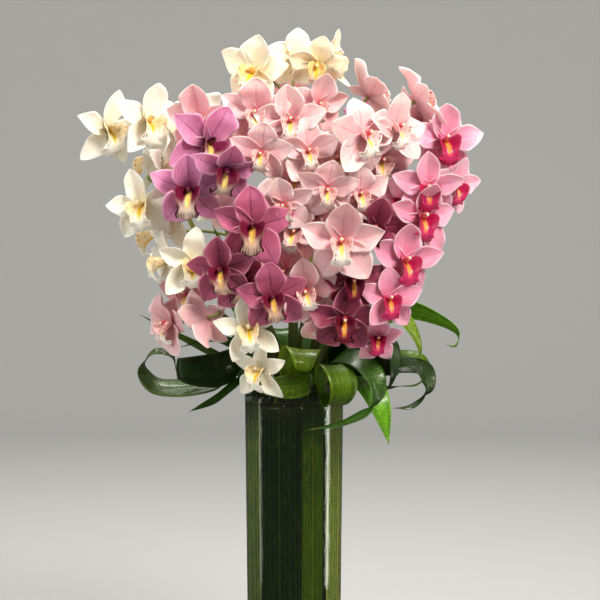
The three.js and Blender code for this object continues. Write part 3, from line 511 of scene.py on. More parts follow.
def paint(tree, ground, coats):
    """Lays coats of colour over a ground. A coat is its colour and the shares that show it, multiplied; each
    share is what it follows, the two values that it runs smoothly between, and the share at each of them."""
    for colour, *limits in coats:
        cover = 1.0
        for source, low, high, start, end in limits:
            ends = {"Value": source, "From Min": low, "From Max": high, "To Min": start, "To Max": end}
            share = add(tree, "ShaderNodeMapRange", ends, interpolation_type="SMOOTHSTEP")
            shares = {0: cover, 1: share.outputs[0]}
            cover = add(tree, "ShaderNodeMath", shares, operation="MULTIPLY").outputs[0]
        ground = add(tree, "ShaderNodeMix", {0: cover, 6: ground, 7: colour}, data_type="RGBA").outputs[2]
    return ground


def new_material(name, numbers):
    """A material whose shader holds these numbers all over."""
    material = bpy.data.materials.new(name)
    material.use_nodes = True
    surface = material.node_tree.nodes["Principled BSDF"]
    for socket, value in numbers.items():
        surface.inputs[socket].default_value = value
    return material, material.node_tree, surface


def place_on_petal(tree):
    """The UV, the way out from the middle line as 0 to 1, and the way along as 0 to 1."""
    uv = add(tree, "ShaderNodeUVMap", uv_map="UVMap")
    parts = add(tree, "ShaderNodeSeparateXYZ", {0: uv.outputs[0]})
    middle = add(tree, "ShaderNodeMath", {0: parts.outputs[0], 1: 2.0, 2: -1.0}, operation="MULTIPLY_ADD")
    side = add(tree, "ShaderNodeMath", {0: middle.outputs[0]}, operation="ABSOLUTE")
    return uv.outputs[0], side.outputs[0], parts.outputs[1]


def lines_along(tree, uv, count, waver):
    """Fine lines that run along a petal or leaf, so many across it, which waver a little."""
    stretched = add(tree, "ShaderNodeMapping", {"Vector": uv, "Scale": (1, 0.12, 1)})
    wave = add(tree, "ShaderNodeTexWave", {
        "Vector": stretched.outputs[0], "Scale": count * math.pi / 10, "Distortion": waver,
        "Detail": 2.0, "Detail Scale": 3.0}, wave_type="BANDS", bands_direction="X", wave_profile="SIN")
    return wave.outputs["Fac"]


PETAL_BREADTH = 28  # mm, of a common tepal
VEIN_SPACING = 2.4  # mm, between the fine veins of a petal
BLADE_BREADTH = 32  # mm, of a common collar leaf
LEAF_VEIN_SPACING = 1.9  # mm; the real veins are finer, and are drawn as coarse as they show
LEAF_SHADOW = 0.45  # share of a leaf's colour that is left in its folds and veins
# painted highlights: the brighter patches and cross veins are painted highlights; the margin and midrib are
# paler in their own colour
LEAF_PALE_AND_HIGHLIGHT = (2.3, 1.8, 1.3)  # how much brighter its margin and patches are in red, green and blue

# Colours of a petal's tip, base, veins, middle line and margin, and how strongly its veins show
PETALS = {
    "white": ("fbf9f2", "ece3c4", "ebe4d0", "eee8d0", "ffffff", 0.3),
    "cream": ("fcf6e6", "ecd9a0", "eee2be", "f0e4bc", "fffef6", 0.4),
    "magenta": ("d890bc", "8a2e5c", "b05e92", "86346a", "f6cfe4", 0.5),
    "wine": ("d0729a", "741838", "963258", "62163a", "e8a8c0", 0.5),
    "blush": ("f8dcda", "d88e98", "e8aab6", "dc96a2", "fff4f0", 0.45),
    "rose": ("fbd0e0", "da6490", "e892b6", "de7aa4", "fff0f6", 0.45),
    "plum": ("b4587a", "620a28", "8a284c", "4c0e28", "dca0b2", 0.5),
}


def petal_material(kind, body):
    """A waxy living petal: a low gloss over colour that light soaks into, with veins and a paler margin."""
    *codes, strength = PETALS[kind]
    tip, base, vein, middle, edge = (linear(code) for code in codes)
    material, tree, surface = new_material(f"waxy_petal_{kind}", {
        "Roughness": 0.48, "Subsurface Weight": 0.35, "Subsurface Radius": (1.0, 0.5, 0.45),
        "Subsurface Scale": 3.5 * MM, "Sheen Weight": 0.12})
    uv, side, along = place_on_petal(tree)
    veins = lines_along(tree, uv, PETAL_BREADTH / VEIN_SPACING, 1.2)
    patches = add(tree, "ShaderNodeTexNoise", {"Scale": 1 / (14 * MM), "Detail": 3.0}).outputs[0]
    tint = add(tree, "ShaderNodeAttribute", attribute_name="tint", attribute_type="GEOMETRY").outputs["Fac"]
    colour = paint(tree, body, [
        (tip, (along, 0.3, 1.0, 0.0, 1.0)),
        (base, (patches, 0.4, 0.8, 0.0, 0.3)),
        # painted shade and random tone: the tint deepens a bloom toward its base colour
        (base, (tint, 0.1, 1.0, 0.0, 0.5)),
        (base, (along, 0.0, 0.4, 0.9, 0.0)),
        (vein, (veins, 0.5, 1.0, 0.0, strength), (along, 0.1, 1.0, 1.0, 0.4)),
        (middle, (side, 0.0, 0.09, 0.7, 0.0), (along, 0.6, 1.0, 1.0, 0.3)),
        (edge, (side, 0.8, 1.0, 0.0, 0.45)),
    ])
    tree.links.new(colour, surface.inputs["Base Color"])
    grain = add(tree, "ShaderNodeTexNoise", {"Scale": 1 / (0.9 * MM), "Detail": 2.0})
    relief = add(tree, "ShaderNodeMath", {0: veins, 1: 0.4, 2: grain.outputs[0]}, operation="MULTIPLY_ADD")
    bump = add(tree, "ShaderNodeBump", {"Height": relief.outputs[0], "Strength": 0.25, "Distance": 0.5 * MM})
    tree.links.new(bump.outputs[0], surface.inputs["Normal"])
    return material


# A lip's ground, side lobes, throat and mark colours, how its marks lie, how strong they are, and the colour
# of the column, its flecks and its cap
LIPS = {
    "white": {"ground": "fbf6ea", "lobe": "f2dcae", "throat": "ecc83c", "mark": "a2602e",
              "marks": "spots", "amount": 0.6, "column": "f2e0a8", "fleck": "b8662c", "cap": "f8f2d8"},
    "cream": {"ground": "f9efd4", "lobe": "eecc8c", "throat": "eec428", "mark": "9a4a22",
              "marks": "spots", "amount": 0.7, "column": "ecc878", "fleck": "b05e28", "cap": "f4e4a8"},
    "magenta": {"ground": "ecd6c6", "lobe": "701238", "throat": "e6cc74", "mark": "4a0824",
                "marks": "stripes", "amount": 1.0, "column": "5a1030", "fleck": "38081e", "cap": "4c0c2a"},
    "wine": {"ground": "dcb8a4", "lobe": "6e1434", "throat": "d8ac54", "mark": "440818",
             "marks": "stripes", "amount": 1.0, "column": "6a1830", "fleck": "38081e", "cap": "56102c"},
    "blush": {"ground": "fbeee6", "lobe": "f2c0bc", "throat": "f0d468", "mark": "8a1838",
              "marks": "spots", "amount": 1.0, "column": "cc4c62", "fleck": "8c1c38", "cap": "f4d8b4"},
    "rose": {"ground": "d42c6c", "lobe": "a81048", "throat": "f4a050", "mark": "78062c",
             "marks": "spots", "amount": 0.9, "column": "e88a8c", "fleck": "b02850", "cap": "fbe0c8"},
    "plum": {"ground": "8c1c3c", "lobe": "5c0c28", "throat": "eca040", "mark": "3c0418",
             "marks": "stripes", "amount": 0.8, "column": "a43a50", "fleck": "5c1028", "cap": "f0cc9c"},
}


def lip_material(kind):
    """A fleshy waxed lip: smoother than the petals, with marks toward its rim and a glowing throat."""
    look = LIPS[kind]
    material, tree, surface = new_material(f"fleshy_lip_{kind}", {
        "Roughness": 0.34, "Subsurface Weight": 0.25, "Subsurface Radius": (1.0, 0.45, 0.35),
        "Subsurface Scale": 2.5 * MM})
    uv, side, along = place_on_petal(tree)
    mark = linear(look["mark"])
    coats = [
        (linear(look["ground"]), (along, 0.38, 0.62, 0.0, 1.0)),
        (linear(look["throat"]), (side, 0.12, 0.34, 1.0, 0.0), (along, 0.45, 0.66, 1.0, 0.0)),
    ]
    if look["marks"] == "spots":
        spread = add(tree, "ShaderNodeMapping", {"Vector": uv, "Scale": (11, 15, 1)})
        cells = add(tree, "ShaderNodeTexVoronoi", {
            "Vector": spread.outputs[0], "Scale": 1.0, "Randomness": 0.75})
        spots = (cells.outputs["Distance"], 0.26, 0.36, 1.0, 0.0)
        coats.append((mark, spots, (side, 0.4, 0.62, 0.0, 1.0), (along, 0.14, 0.3, 0.0, look["amount"])))
        coats.append((mark, spots, (along, 0.76, 0.86, 0.0, look["amount"])))
    else:
        bands = lines_along(tree, uv, 9, 0.8)
        coats.append((mark, (bands, 0.45, 0.7, 0.0, 1.0), (along, 0.55, 0.8, 0.0, look["amount"]),
                      (side, 0.15, 0.3, 0.0, 1.0)))
        coats.append((mark, (side, 0.7, 0.9, 0.0, 1.0), (along, 0.4, 0.55, 0.0, 1.0)))
        coats.append((mark, (along, 0.86, 0.95, 0.0, 1.0)))
    colour = paint(tree, linear(look["lobe"]), coats)
    tree.links.new(colour, surface.inputs["Base Color"])
    grain = add(tree, "ShaderNodeTexNoise", {"Scale": 1 / (1.2 * MM), "Detail": 2.0})
    bump = add(tree, "ShaderNodeBump", {"Height": grain.outputs[0], "Strength": 0.2, "Distance": 0.4 * MM})
    tree.links.new(bump.outputs[0], surface.inputs["Normal"])
    return material


def column_material(kind):
    """A fleshy column with flecks on its hood and a paler waxed cap at its tip."""
    look = LIPS[kind]
    material, tree, surface = new_material(f"fleshy_column_{kind}", {
        "Roughness": 0.32, "Subsurface Weight": 0.2, "Subsurface Radius": (1.0, 0.5, 0.3),
        "Subsurface Scale": 2 * MM})
    _, _, along = place_on_petal(tree)
    flecks = add(tree, "ShaderNodeTexVoronoi", {"Scale": 1 / (2.4 * MM)})
    colour = paint(tree, linear(look["column"]), [
        (linear(look["fleck"]), (flecks.outputs["Distance"], 0.22, 0.34, look["amount"], 0.0)),
        (linear(look["cap"]), (along, 0.84, 0.9, 0.0, 1.0)),
    ])
    tree.links.new(colour, surface.inputs["Base Color"])
    return material


def stem_material(body):
    """A smooth living stem: a satin skin, with faint lengthwise streaks, redder flecks and painted shade low
    down.
    """
    material, tree, surface = new_material("satin_green_stem", {
        "Roughness": 0.42, "Subsurface Weight": 0.1, "Subsurface Scale": 2 * MM})
    uv, _, along = place_on_petal(tree)
    place = add(tree, "ShaderNodeTexCoord").outputs["Object"]
    height = add(tree, "ShaderNodeSeparateXYZ", {0: place}).outputs["Z"]
    streaks = lines_along(tree, uv, 7, 2.5)
    patches = add(tree, "ShaderNodeTexNoise", {"Scale": 1 / (30 * MM), "Detail": 3.0}).outputs[0]
    colour = paint(tree, body, [
        (linear("56682a"), (streaks, 0.0, 1.0, 0.0, 0.5)),
        (linear("9a8a4a"), (patches, 0.5, 0.8, 0.0, 0.5)),
        # painted shade: the stems are darker low down, in the shade under the blooms
        (linear("2a380e"), (height, 0.44, 0.64, 0.92, 0.0)),
        (linear("b8a468"), (along, 0.7, 1.0, 0.0, 0.35)),
    ])
    tree.links.new(colour, surface.inputs["Base Color"])
    bump = add(tree, "ShaderNodeBump", {"Height": streaks, "Strength": 0.2, "Distance": 0.4 * MM})
    tree.links.new(bump.outputs[0], surface.inputs["Normal"])
    return material


def leaf_material(name, body, numbers, fold_count):
    """A strap leaf: parallel veins over green, a sunken rib, faint cross veins, a thin paler margin, painted
    shade and highlights.
    """
    material, tree, surface = new_material(name, numbers)
    uv, side, along = place_on_petal(tree)
    dark = tuple(part * LEAF_SHADOW for part in body)
    pale_and_highlight = tuple(part * more for part, more in zip(body, LEAF_PALE_AND_HIGHLIGHT))
    veins = lines_along(tree, uv, BLADE_BREADTH / LEAF_VEIN_SPACING, 0.6)
    fold_shade = lines_along(tree, uv, fold_count, 3.0)
    rungs = add(tree, "ShaderNodeTexWave", {"Vector": uv, "Scale": 22.0, "Distortion": 0.6},
                wave_type="BANDS", bands_direction="Y")
    patches = add(tree, "ShaderNodeTexNoise", {"Scale": 1 / (40 * MM), "Detail": 4.0}).outputs[0]
    colour = paint(tree, body, [
        # painted shade darkens the leaf along its folds
        (dark, (fold_shade, 0.3, 0.8, 0.0, 0.85)),
        (dark, (veins, 0.2, 1.0, 0.0, 0.5)),
        # painted highlights: light patches over the leaf, and faint ladders on the cross veins
        (pale_and_highlight, (patches, 0.45, 0.75, 0.0, 0.6)),
        (pale_and_highlight, (rungs.outputs["Fac"], 0.82, 1.0, 0.0, 0.12)),
        (pale_and_highlight, (side, 0.0, 0.07, 0.7, 0.0)),
        (pale_and_highlight, (side, 0.92, 0.99, 0.0, 0.6)),
        (linear("8a7a3a"), (along, 0.93, 1.0, 0.0, 0.4)),
    ])
    tree.links.new(colour, surface.inputs["Base Color"])
    channel = add(tree, "ShaderNodeMapRange", {
        "Value": side, "From Min": 0.0, "From Max": 0.1, "To Min": -1.5, "To Max": 0.0})
    ribs = add(tree, "ShaderNodeMath", {0: rungs.outputs["Fac"], 1: 0.9, 2: channel.outputs[0]},
               operation="MULTIPLY_ADD")
    relief = add(tree, "ShaderNodeMath", {0: veins, 1: ribs.outputs[0]}, operation="ADD")
    bump = add(tree, "ShaderNodeBump", {"Height": relief.outputs[0], "Strength": 0.35, "Distance": 0.4 * MM})
    tree.links.new(bump.outputs[0], surface.inputs["Normal"])
    return material


def glass_material():
    """Clear polished soda-lime glass: sharp highlights, and a faint green where it is thick."""
    material, tree, surface = new_material("polished_clear_glass", {
        "Base Color": (*linear("f2faf4"), 1), "Roughness": 0.015, "IOR": 1.5, "Transmission Weight": 1.0})
    streaks = add(tree, "ShaderNodeTexNoise", {"Scale": 1 / (45 * MM), "Detail": 2.0})
    bump = add(tree, "ShaderNodeBump", {"Height": streaks.outputs[0], "Strength": 0.12, "Distance": MM})
    tree.links.new(bump.outputs[0], surface.inputs["Normal"])
    return material


def water_material():
    """Clear still water, a little green from the leaves in it."""
    material, tree, surface = new_material("still_clear_water", {
        "Base Color": (*linear("eef6e6"), 1), "Roughness": 0.0, "IOR": 1.333, "Transmission Weight": 1.0})
    ripple = add(tree, "ShaderNodeTexNoise", {"Scale": 1 / (25 * MM), "Detail": 1.0})
    bump = add(tree, "ShaderNodeBump", {"Height": ripple.outputs[0], "Strength": 0.03, "Distance": MM})
    tree.links.new(bump.outputs[0], surface.inputs["Normal"])
    return material


def floor_material(body):
    """A matt painted floor that runs up into the backdrop, with the faint mottle of a roller."""
    material, tree, surface = new_material("matt_painted_floor", {"Roughness": 0.85})
    mottle = add(tree, "ShaderNodeTexNoise", {"Scale": 9.0, "Detail": 3.0}).outputs[0]
    colour = paint(tree, body, [(linear("b4b4b2"), (mottle, 0.3, 0.8, 0.0, 0.1))])
    tree.links.new(colour, surface.inputs["Base Color"])
    return material


# Blooms

def bloom_frame(row, behind, rim):
    """The middle of a bloom, and its right, its top and the way it faces as the rows of a matrix."""
    across, up, lift, turn, tilt, roll, _ = row
    flat = (across / DOME["across"]) ** 2 + ((up - DOME["middle"]) / DOME["up"]) ** 2
    out = (DOME["deep"] * math.sqrt(max(0.1, 1 - flat)) + lift) * (-DOME["back"] if behind else 1)
    near = 1 if behind else 1 - out / EYE_DISTANCE
    height = EYE_HEIGHT + (rim + up - EYE_HEIGHT) * near
    centre = np.array([across * near, -out, height])
    az, el, ro = (math.radians(value) for value in (turn, tilt, roll))
    face = np.array([math.sin(az) * math.cos(el), -math.cos(az) * math.cos(el), math.sin(el)])
    level = np.array([math.cos(az), math.sin(az), 0])
    upright = np.cross(face, level)
    right = level * math.cos(ro) - upright * math.sin(ro)
    top = upright * math.cos(ro) + level * math.sin(ro)
    return centre, np.array([right, top, face])


def tepal_outline(along, blunt):
    """Share of the full half width along a tepal, from its narrow base past its widest place to its tip."""
    grow = TEPAL_BASE + (1 - TEPAL_BASE) * np.sin(np.clip(along / TEPAL_WIDEST, 0, 1) * math.pi / 2)
    far = np.clip((along - TEPAL_WIDEST) / (1 - TEPAL_WIDEST), 0, 1)
    taper = np.maximum(1 - far ** (1.7 + blunt), 0) ** (1.0 - 0.6 * blunt)
    return np.where(along < TEPAL_WIDEST, grow, taper) * 0.98 + 0.02


def tepal_grid(tepal, number, span, breadth, swing, lean, wave, draw):
    """A tepal in its bloom's own frame: right, up and forward."""
    rows, columns = TEPAL_STEPS
    along, across = np.meshgrid(np.linspace(0, 1, rows), np.linspace(-1, 1, columns), indexing="ij")
    length = tepal["length"] * span * (1 + SWAY["length"] * draw.uniform(-1, 1))
    half = tepal["half"] * span * breadth * (1 + SWAY["half"] * draw.uniform(-1, 1))
    phase = draw.uniform(0, 2 * math.pi)
    edge = np.abs(across) ** 2.5 * np.sin(math.pi * along ** 0.8)
    ripple = np.sin(along * draw.uniform(*SWAY["ripples"]) + phase + np.sign(across) * 1.3)
    width = half * tepal_outline(along, tepal["blunt"]) * (1 + 0.06 * ripple * edge)
    reach = (TEPAL_START + (1 - TEPAL_START) * along) * length
    lean = min(tepal["lean"] + lean + draw.uniform(*SWAY["lean"]), LEAN_MOST)
    bow = (tepal["bow"] + BOW_SWAY * swing) * span
    cup = tepal["cup"] + draw.uniform(*SWAY["cup"])
    twist = tepal["twist"] * draw.uniform(-1, 1) * along ** 1.5 * across * width
    curl = draw.uniform(*SWAY["curl"]) * span * smoothstep(along, 0.5, 1.0) ** 1.5
    height = bow * along ** 2 + cup * width * across ** 2
    height = height + wave * ripple * edge + twist + curl + lean * reach
    groove = np.exp(-(across / TEPAL_GROOVE["breadth"]) ** 2) * (1 - TEPAL_GROOVE["fade"] * along)
    height -= TEPAL_GROOVE["depth"] * groove
    reach = reach / math.sqrt(1 + lean ** 2)
    sickle = tepal["sickle"] + SWAY["sickle"] * draw.uniform(-1, 1)
    sideways = across * width + sickle * length * along ** 2
    turn = math.radians(tepal["angle"] + draw.uniform(-SWAY["angle"], SWAY["angle"]))
    x = math.cos(turn) * reach - math.sin(turn) * sideways
    y = math.sin(turn) * reach + math.cos(turn) * sideways
    lift = TEPAL_LIFT["sepal"] * (number % 2) + TEPAL_LIFT["all"]
    return np.stack([x, y, height + lift], axis=-1), across, along


def lip_grid(span, draw):
    """The lip: a trough whose side lobes stand up beside the column, and a middle lobe that turns down."""
    rows, columns = LIP_STEPS
    line, ways = smooth_line([(0, up, out) for up, out in LIP_LINE], rows)
    along = np.linspace(0, 1, rows)
    across = np.linspace(-1, 1, columns)
    half = np.interp(along, LIP_ALONG, LIP_HALF)
    half = np.convolve(np.pad(half, 1, mode="edge"), (0.25, 0.5, 0.25), mode="valid")
    rise = np.interp(along, LIP_ALONG, LIP_RISE)
    rise = np.convolve(np.pad(rise, 1, mode="edge"), (0.25, 0.5, 0.25), mode="valid")
    normal = np.stack([np.zeros(rows), ways[:, 2], -ways[:, 1]], axis=1)
    frill = np.sin(along * LIP_FRILL["waves"] + draw.uniform(0, 6)) * smoothstep(along, 0.45, 0.75)
    frill = frill * LIP_FRILL["height"]
    ridge = np.exp(-((np.abs(across) - LIP_RIDGE["place"]) / LIP_RIDGE["breadth"]) ** 2)
    lift = rise[:, None] * np.abs(across) ** 1.7 + frill[:, None] * np.abs(across) ** 3
    lift = lift + LIP_RIDGE["height"] * ridge[None, :] * smoothstep(along, 0.75, 0.5)[:, None]
    grid = line[:, None, :] + normal[:, None, :] * lift[..., None]
    grid[..., 0] += half[:, None] * across[None, :] + draw.uniform(-0.05, 0.05) * along[:, None] ** 2
    return grid * span


def bloom_parts(skin, row, number, sizes, behind, kind, rim, draw):
    """Five tepals, a lip and a column at the bloom's place. A lower bloom is painted deeper, as painted
    shade.
    """
    centre, basis = bloom_frame(row, behind, rim)
    span = row[6]
    # painted shade: a random tone, deepened on lower blooms as painted shade
    tint = TONE_AND_SHADE["chance"] * draw.uniform(0, 1) + TONE_AND_SHADE["height"] * smoothstep(row[1], TONE_AND_SHADE["young"], TONE_AND_SHADE["old"])
    openness = draw.uniform(*OPENNESS)
    wave = sizes.petal_wave / MM
    thickness = sizes.petal_thickness / MM
    for tepal, turn_number in zip(TEPALS, TEPAL_NUMBERS):
        swing = math.sin(number * 2.1 + turn_number * 1.7)
        grid, across, along = tepal_grid(
            tepal, turn_number, span, kind["breadth"], swing, openness, wave, draw)
        thick = thickness * (1 - 0.6 * np.abs(across) ** 2) * (1.35 - 0.6 * along)
        front, back = sides_of(grid, thick)
        skin.sheet(centre + front @ basis, centre + back @ basis, 0, tint)
    grid = lip_grid(span, draw) * kind["lip"]
    front, back = sides_of(grid, np.full(grid.shape[:2], LIP_THICKNESS))
    skin.sheet(centre + front @ basis, centre + back @ basis, 1, tint)
    line, ways = smooth_line([(0, up * span, out * span) for up, out in COLUMN_LINE], COLUMN_STEPS)
    known = np.linspace(0, 1, len(COLUMN_RADIUS))
    radii = np.interp(np.linspace(0, 1, COLUMN_STEPS), known, COLUMN_RADIUS) * span
    skin.tube(centre + line @ basis, ways @ basis, radii, COLUMN_SIDES, 2, tint)
    return centre, basis[2]


def nearest_on(points, place):
    """The point of a chain of straight runs that is nearest to a place."""
    spots = []
    for start, end in zip(points, points[1:]):
        run = end - start
        share = np.clip((place - start).dot(run) / run.dot(run), 0, 1)
        spots.append(start + run * share)
    return min(spots, key=lambda spot: np.linalg.norm(spot - place))


def pedicel(skin, points, centre, face):
    """The stalk from the stem to the back of a bloom."""
    drop = PEDICEL["drop"]
    start = nearest_on(points[1:], centre - face * drop - np.array([0, 0, drop]))
    knee = centre - face * PEDICEL["knee"] * np.linalg.norm(start - centre)
    places, ways = bent_line(start, knee, centre, PEDICEL["steps"])
    radii = PEDICEL["radius"] * (1 + PEDICEL["flare"] * np.linspace(0, 1, PEDICEL["steps"]) ** 4)
    skin.tube(places, ways, radii, PEDICEL["sides"], 3)


def build_spray(spray, seed, sizes, materials):
    """A cut stem with its stalks and blooms, grown as one piece."""
    skin = Skin()
    draw = np.random.default_rng(seed)
    rim = sizes.vase_height / MM
    behind = spray.get("behind", False)
    kind = KINDS[spray["kind"]]
    across, depth, _ = spray["stem"][0]
    foot = (across * STEM["gather"], depth * STEM["gather"], STEM["foot"])
    points = [np.array(foot, float)] + [np.array((x, y, rim + up), float) for x, y, up in spray["stem"]]
    places, ways = smooth_line(points, STEM["steps"] * len(points))
    radii = STEM["radius"] * np.interp(np.linspace(0, 1, len(places)), *STEM_TAPER)
    skin.tube(places, ways, radii, STEM["sides"], 3)
    for number, row in enumerate(spray["blooms"]):
        centre, face = bloom_parts(skin, row, number, sizes, behind, kind, rim, draw)
        pedicel(skin, points, centre, face)
    return skin.piece("orchid_" + spray["name"], materials, spray["name"])


# Leaves

def blade_half(along, breadth):
    """Half the width of a blade along its length, from its stalk to its point."""
    grown = math.sin(math.pi * along ** BLADE["fullness"]) * breadth * 0.5
    return max(ROOT["half"] * (1 - along), grown, BLADE_TIP)


def glass_inside(height, sizes):
    """The inner radius of the glass at a height."""
    low, high = sizes.floor / MM, sizes.vase_height / MM
    share = (height - low) / (high - low)
    return (sizes.foot_radius + (sizes.rim_radius - sizes.foot_radius) * share - sizes.wall) / MM


def root_radius(angle, sizes):
    """How far from the axis a root stands, just inside the innermost lining leaf there."""
    low = sizes.vase_height / MM - ROOT["depth"]
    layers = [liner["layer"] for liner in LINERS if liner["from"] < angle < liner["to"]]
    face = glass_inside(low, sizes) - LINER["gap"] - max([0, *layers]) * LINER["layer"] - LINER["thickness"]
    return face * math.cos(math.radians(LINER["facet"] / 2)) - CLEARANCE - ROOT["thickness"] / 2


def build_leaf(leaf, sizes, material):
    """A strap leaf: an upright root inside the glass, then a blade along its own path."""
    rim = sizes.vase_height / MM
    wall = root_radius(leaf["root"], sizes)
    foot = around(leaf["root"], wall, rim - ROOT["depth"])
    top = around(leaf["root"], wall, rim + ROOT["rise"])
    rows, columns = BLADE_STEPS
    path = [(x, y, rim + up) for x, y, up in leaf["path"]]
    places, ways = smooth_line([top, *path], rows)
    broad = unit(np.array(leaf["broad"], float))
    root_broad = around(leaf["root"] + 90, 1, 0)
    if root_broad.dot(broad) < 0:
        root_broad = -root_broad
    across = np.linspace(-1, 1, columns)
    upright = np.array([0.0, 0.0, 1.0])
    stations = [(foot + (top - foot) * share, upright, 0.0) for share in (0, 0.25, 0.5, 0.75)]
    for i in range(rows):
        share = smoothstep(i / (rows - 1), 0, BLADE["bend"])
        stations.append((places[i], unit(upright * (1 - share) + ways[i] * share), i / (rows - 1)))
    grids = ([], [])
    for centre, way, along in stations:
        settled = smoothstep(along, 0, BLADE["settle"])
        side = root_broad * (1 - settled) + broad * settled
        normal = unit(np.cross(way, side))
        side = np.cross(normal, way)
        half = blade_half(along, leaf["breadth"])
        thick = ROOT["thickness"] * (1 - settled) + BLADE["thickness"] * settled
        rise = half * BLADE["trough"] * np.abs(across) ** BLADE["round"]
        body = thick * (1 - BLADE["thin"] * across ** 2) / 2
        for grid, sign in zip(grids, (1, -1)):
            grid.append(centre + side * (across * half)[:, None] + normal * (rise + sign * body)[:, None])
    skin = Skin()
    skin.sheet(np.array(grids[0]), np.array(grids[1]), 0)
    return skin.piece("strap_" + leaf["name"], [material], leaf["name"])


def back_loops():
    """The plain loops behind, as rows like those of the other collar leaves."""
    loops = []
    for number, angle in enumerate(BACK_LOOPS, 1):
        path = [tuple(around(angle, out, up)) for out, up in BACK_LOOP_PATH]
        # painted shade: the loops behind take the dark green, as they lie in the collar's shade
        loops.append({"name": f"leaf_back_{number}", "root": angle, "breadth": BACK_LOOP_BREADTH,
                      "broad": tuple(around(angle + 90, 1, 0)), "shade": "dark", "path": path})
    return loops


def build_liner(liner, sizes, material):
    """A leaf flat against the glass: an arc of the wall that narrows toward its lower end."""
    rows, columns = LINER_STEPS
    middle = (liner["from"] + liner["to"]) / 2
    reach = (liner["to"] - liner["from"]) / 2
    shoulder = LINER["bottom"] + (LINER["top"] - LINER["bottom"]) * LINER["shoulder"]
    outer, inner = [], []
    for height in np.linspace(LINER["bottom"], LINER["top"], rows):
        share = np.interp(height, (LINER["bottom"], shoulder), (LINER["taper"], 1))
        radius = glass_inside(height, sizes) - LINER["gap"] - liner["layer"] * LINER["layer"]
        angles = middle + reach * share * np.linspace(-1, 1, columns)
        outer.append([around(angle, radius, height) for angle in angles])
        inner.append([around(angle, radius - LINER["thickness"], height) for angle in angles])
    skin = Skin()
    skin.sheet(np.array(outer), np.array(inner), 0)
    return skin.piece("lining_" + liner["name"], [material], liner["name"])


# Vase and water

TURNED_SIDES = 128
AXIS_HOLE = 0.5  # mm, where the flat middle of a turned form begins
WALL_SHARES = [0.012, 0.065, 0.3, 0.5, 0.7, 0.975, 0.988]  # close at both ends, for a straight gloss
# The foot is a little hollow inside a ring: two heights of the hollow, how far in it begins and the ring
# stands, and the rounding of the outer and the inner edge, in millimetres
FOOT = {"middle": 0.6, "slope": 0.4, "hollow": 6, "ring": 3, "edge": 2, "inner_edge": 4}
# The film of water behind the linings: its top, thickness and overlap with the glass, and the rings of its
# inner face, down from its top and up from the water's level
FILM = {"top": 397, "thickness": 0.85, "overlap": 0.12, "down": (0.4, 4), "up": (5, 1)}
FILM_SHARES = (0.02, 0.3, 0.6, 0.98, 1.0)
MENISCUS = [(1.0, 0.4), (3.0, 1.2)]  # mm, in from the edge and down from the level
WATER_DIP = 1.5  # mm, from the water's edge down to its middle


def turned(profile):
    """Rings round the axis from a profile of radius and height."""
    turn = np.linspace(0, 2 * math.pi, TURNED_SIDES, endpoint=False)
    return np.array([[(radius * math.cos(a), radius * math.sin(a), height) for a in turn]
                     for radius, height in profile])


def rounded(corner, radius, start, end, steps=6):
    """Points of a rounded edge about a centre, from one angle to another in degrees."""
    angles = np.radians(np.linspace(start, end, steps))
    return [(corner[0] + radius * math.cos(a), corner[1] + radius * math.sin(a)) for a in angles]


def build_vase(sizes):
    """The glass cylinder, from the middle of its foot up the outside, over the rim and down the inside."""
    height, rim, foot = sizes.vase_height / MM, sizes.rim_radius / MM, sizes.foot_radius / MM
    wall, floor = sizes.wall / MM, sizes.floor / MM
    lip = wall / 2
    inside = glass_inside(floor, sizes)
    edge, inner_edge = FOOT["edge"], FOOT["inner_edge"]
    profile = [(AXIS_HOLE, FOOT["middle"]), (foot * 0.5, FOOT["middle"])]
    profile += [(foot - FOOT["hollow"], FOOT["slope"]), (foot - FOOT["ring"], 0.0)]
    profile += rounded((foot - edge, edge), edge, -90, 0)
    profile += [(foot + (rim - foot) * share, height * share) for share in WALL_SHARES]
    profile += rounded((rim - lip, height - lip), lip, 0, 180, 9)
    profile += [(glass_inside(height * share, sizes), height * share) for share in WALL_SHARES[:0:-1]]
    profile += rounded((inside - inner_edge, floor + inner_edge), inner_edge, 0, -90)
    profile += [(inside * 0.5, floor), (AXIS_HOLE, floor)]
    skin = Skin()
    skin.rings(turned(profile), 0)
    return skin.piece("glass_vase", [glass_material()], "vase")


def build_water(sizes):
    """The water, with the film that it holds between the lining leaves and the glass above its level. It
    reaches a hair into the glass, so that no film of air shows between them."""
    level, floor, overlap = sizes.water_level / MM, sizes.floor / MM, FILM["overlap"]
    inside = glass_inside(floor, sizes) + overlap
    inner_edge = FOOT["inner_edge"]
    profile = [(AXIS_HOLE, floor - overlap), (inside * 0.6, floor - overlap)]
    profile += rounded((inside - inner_edge, floor + inner_edge - overlap), inner_edge, -90, 0)
    outside = [floor + (FILM["top"] - floor) * share for share in FILM_SHARES]
    profile += [(glass_inside(height, sizes) + overlap, height) for height in outside]
    behind = [FILM["top"] - down for down in FILM["down"]] + [level + up for up in FILM["up"]]
    profile += [(glass_inside(height, sizes) - FILM["thickness"], height) for height in behind]
    edge = glass_inside(level, sizes) - FILM["thickness"]
    profile += [(edge - inward, level - down) for inward, down in MENISCUS]
    profile += [(edge * 0.5, level - WATER_DIP), (AXIS_HOLE, level - WATER_DIP)]
    skin = Skin()
    skin.rings(turned(profile), 0)
    return skin.piece("vase_water", [water_material()], "water")


# Stage

# All in metres and watts
CAMERA_PLACE = (0.0, -2.4, 0.62)
CAMERA_TARGET = (0.0077, 0.0, 0.526)
CAMERA_ANGLE = 18.3  # degrees
CAMERA_REACH = 50
BACKDROP = {"hole": 0.01, "flat": 3.2, "bend": 1.4, "height": 4.6}  # the vase covers the hole
WORLD = {"colour": "eef0f2", "strength": 0.08}
LAMP_TARGET = (0, 0, 0.55)
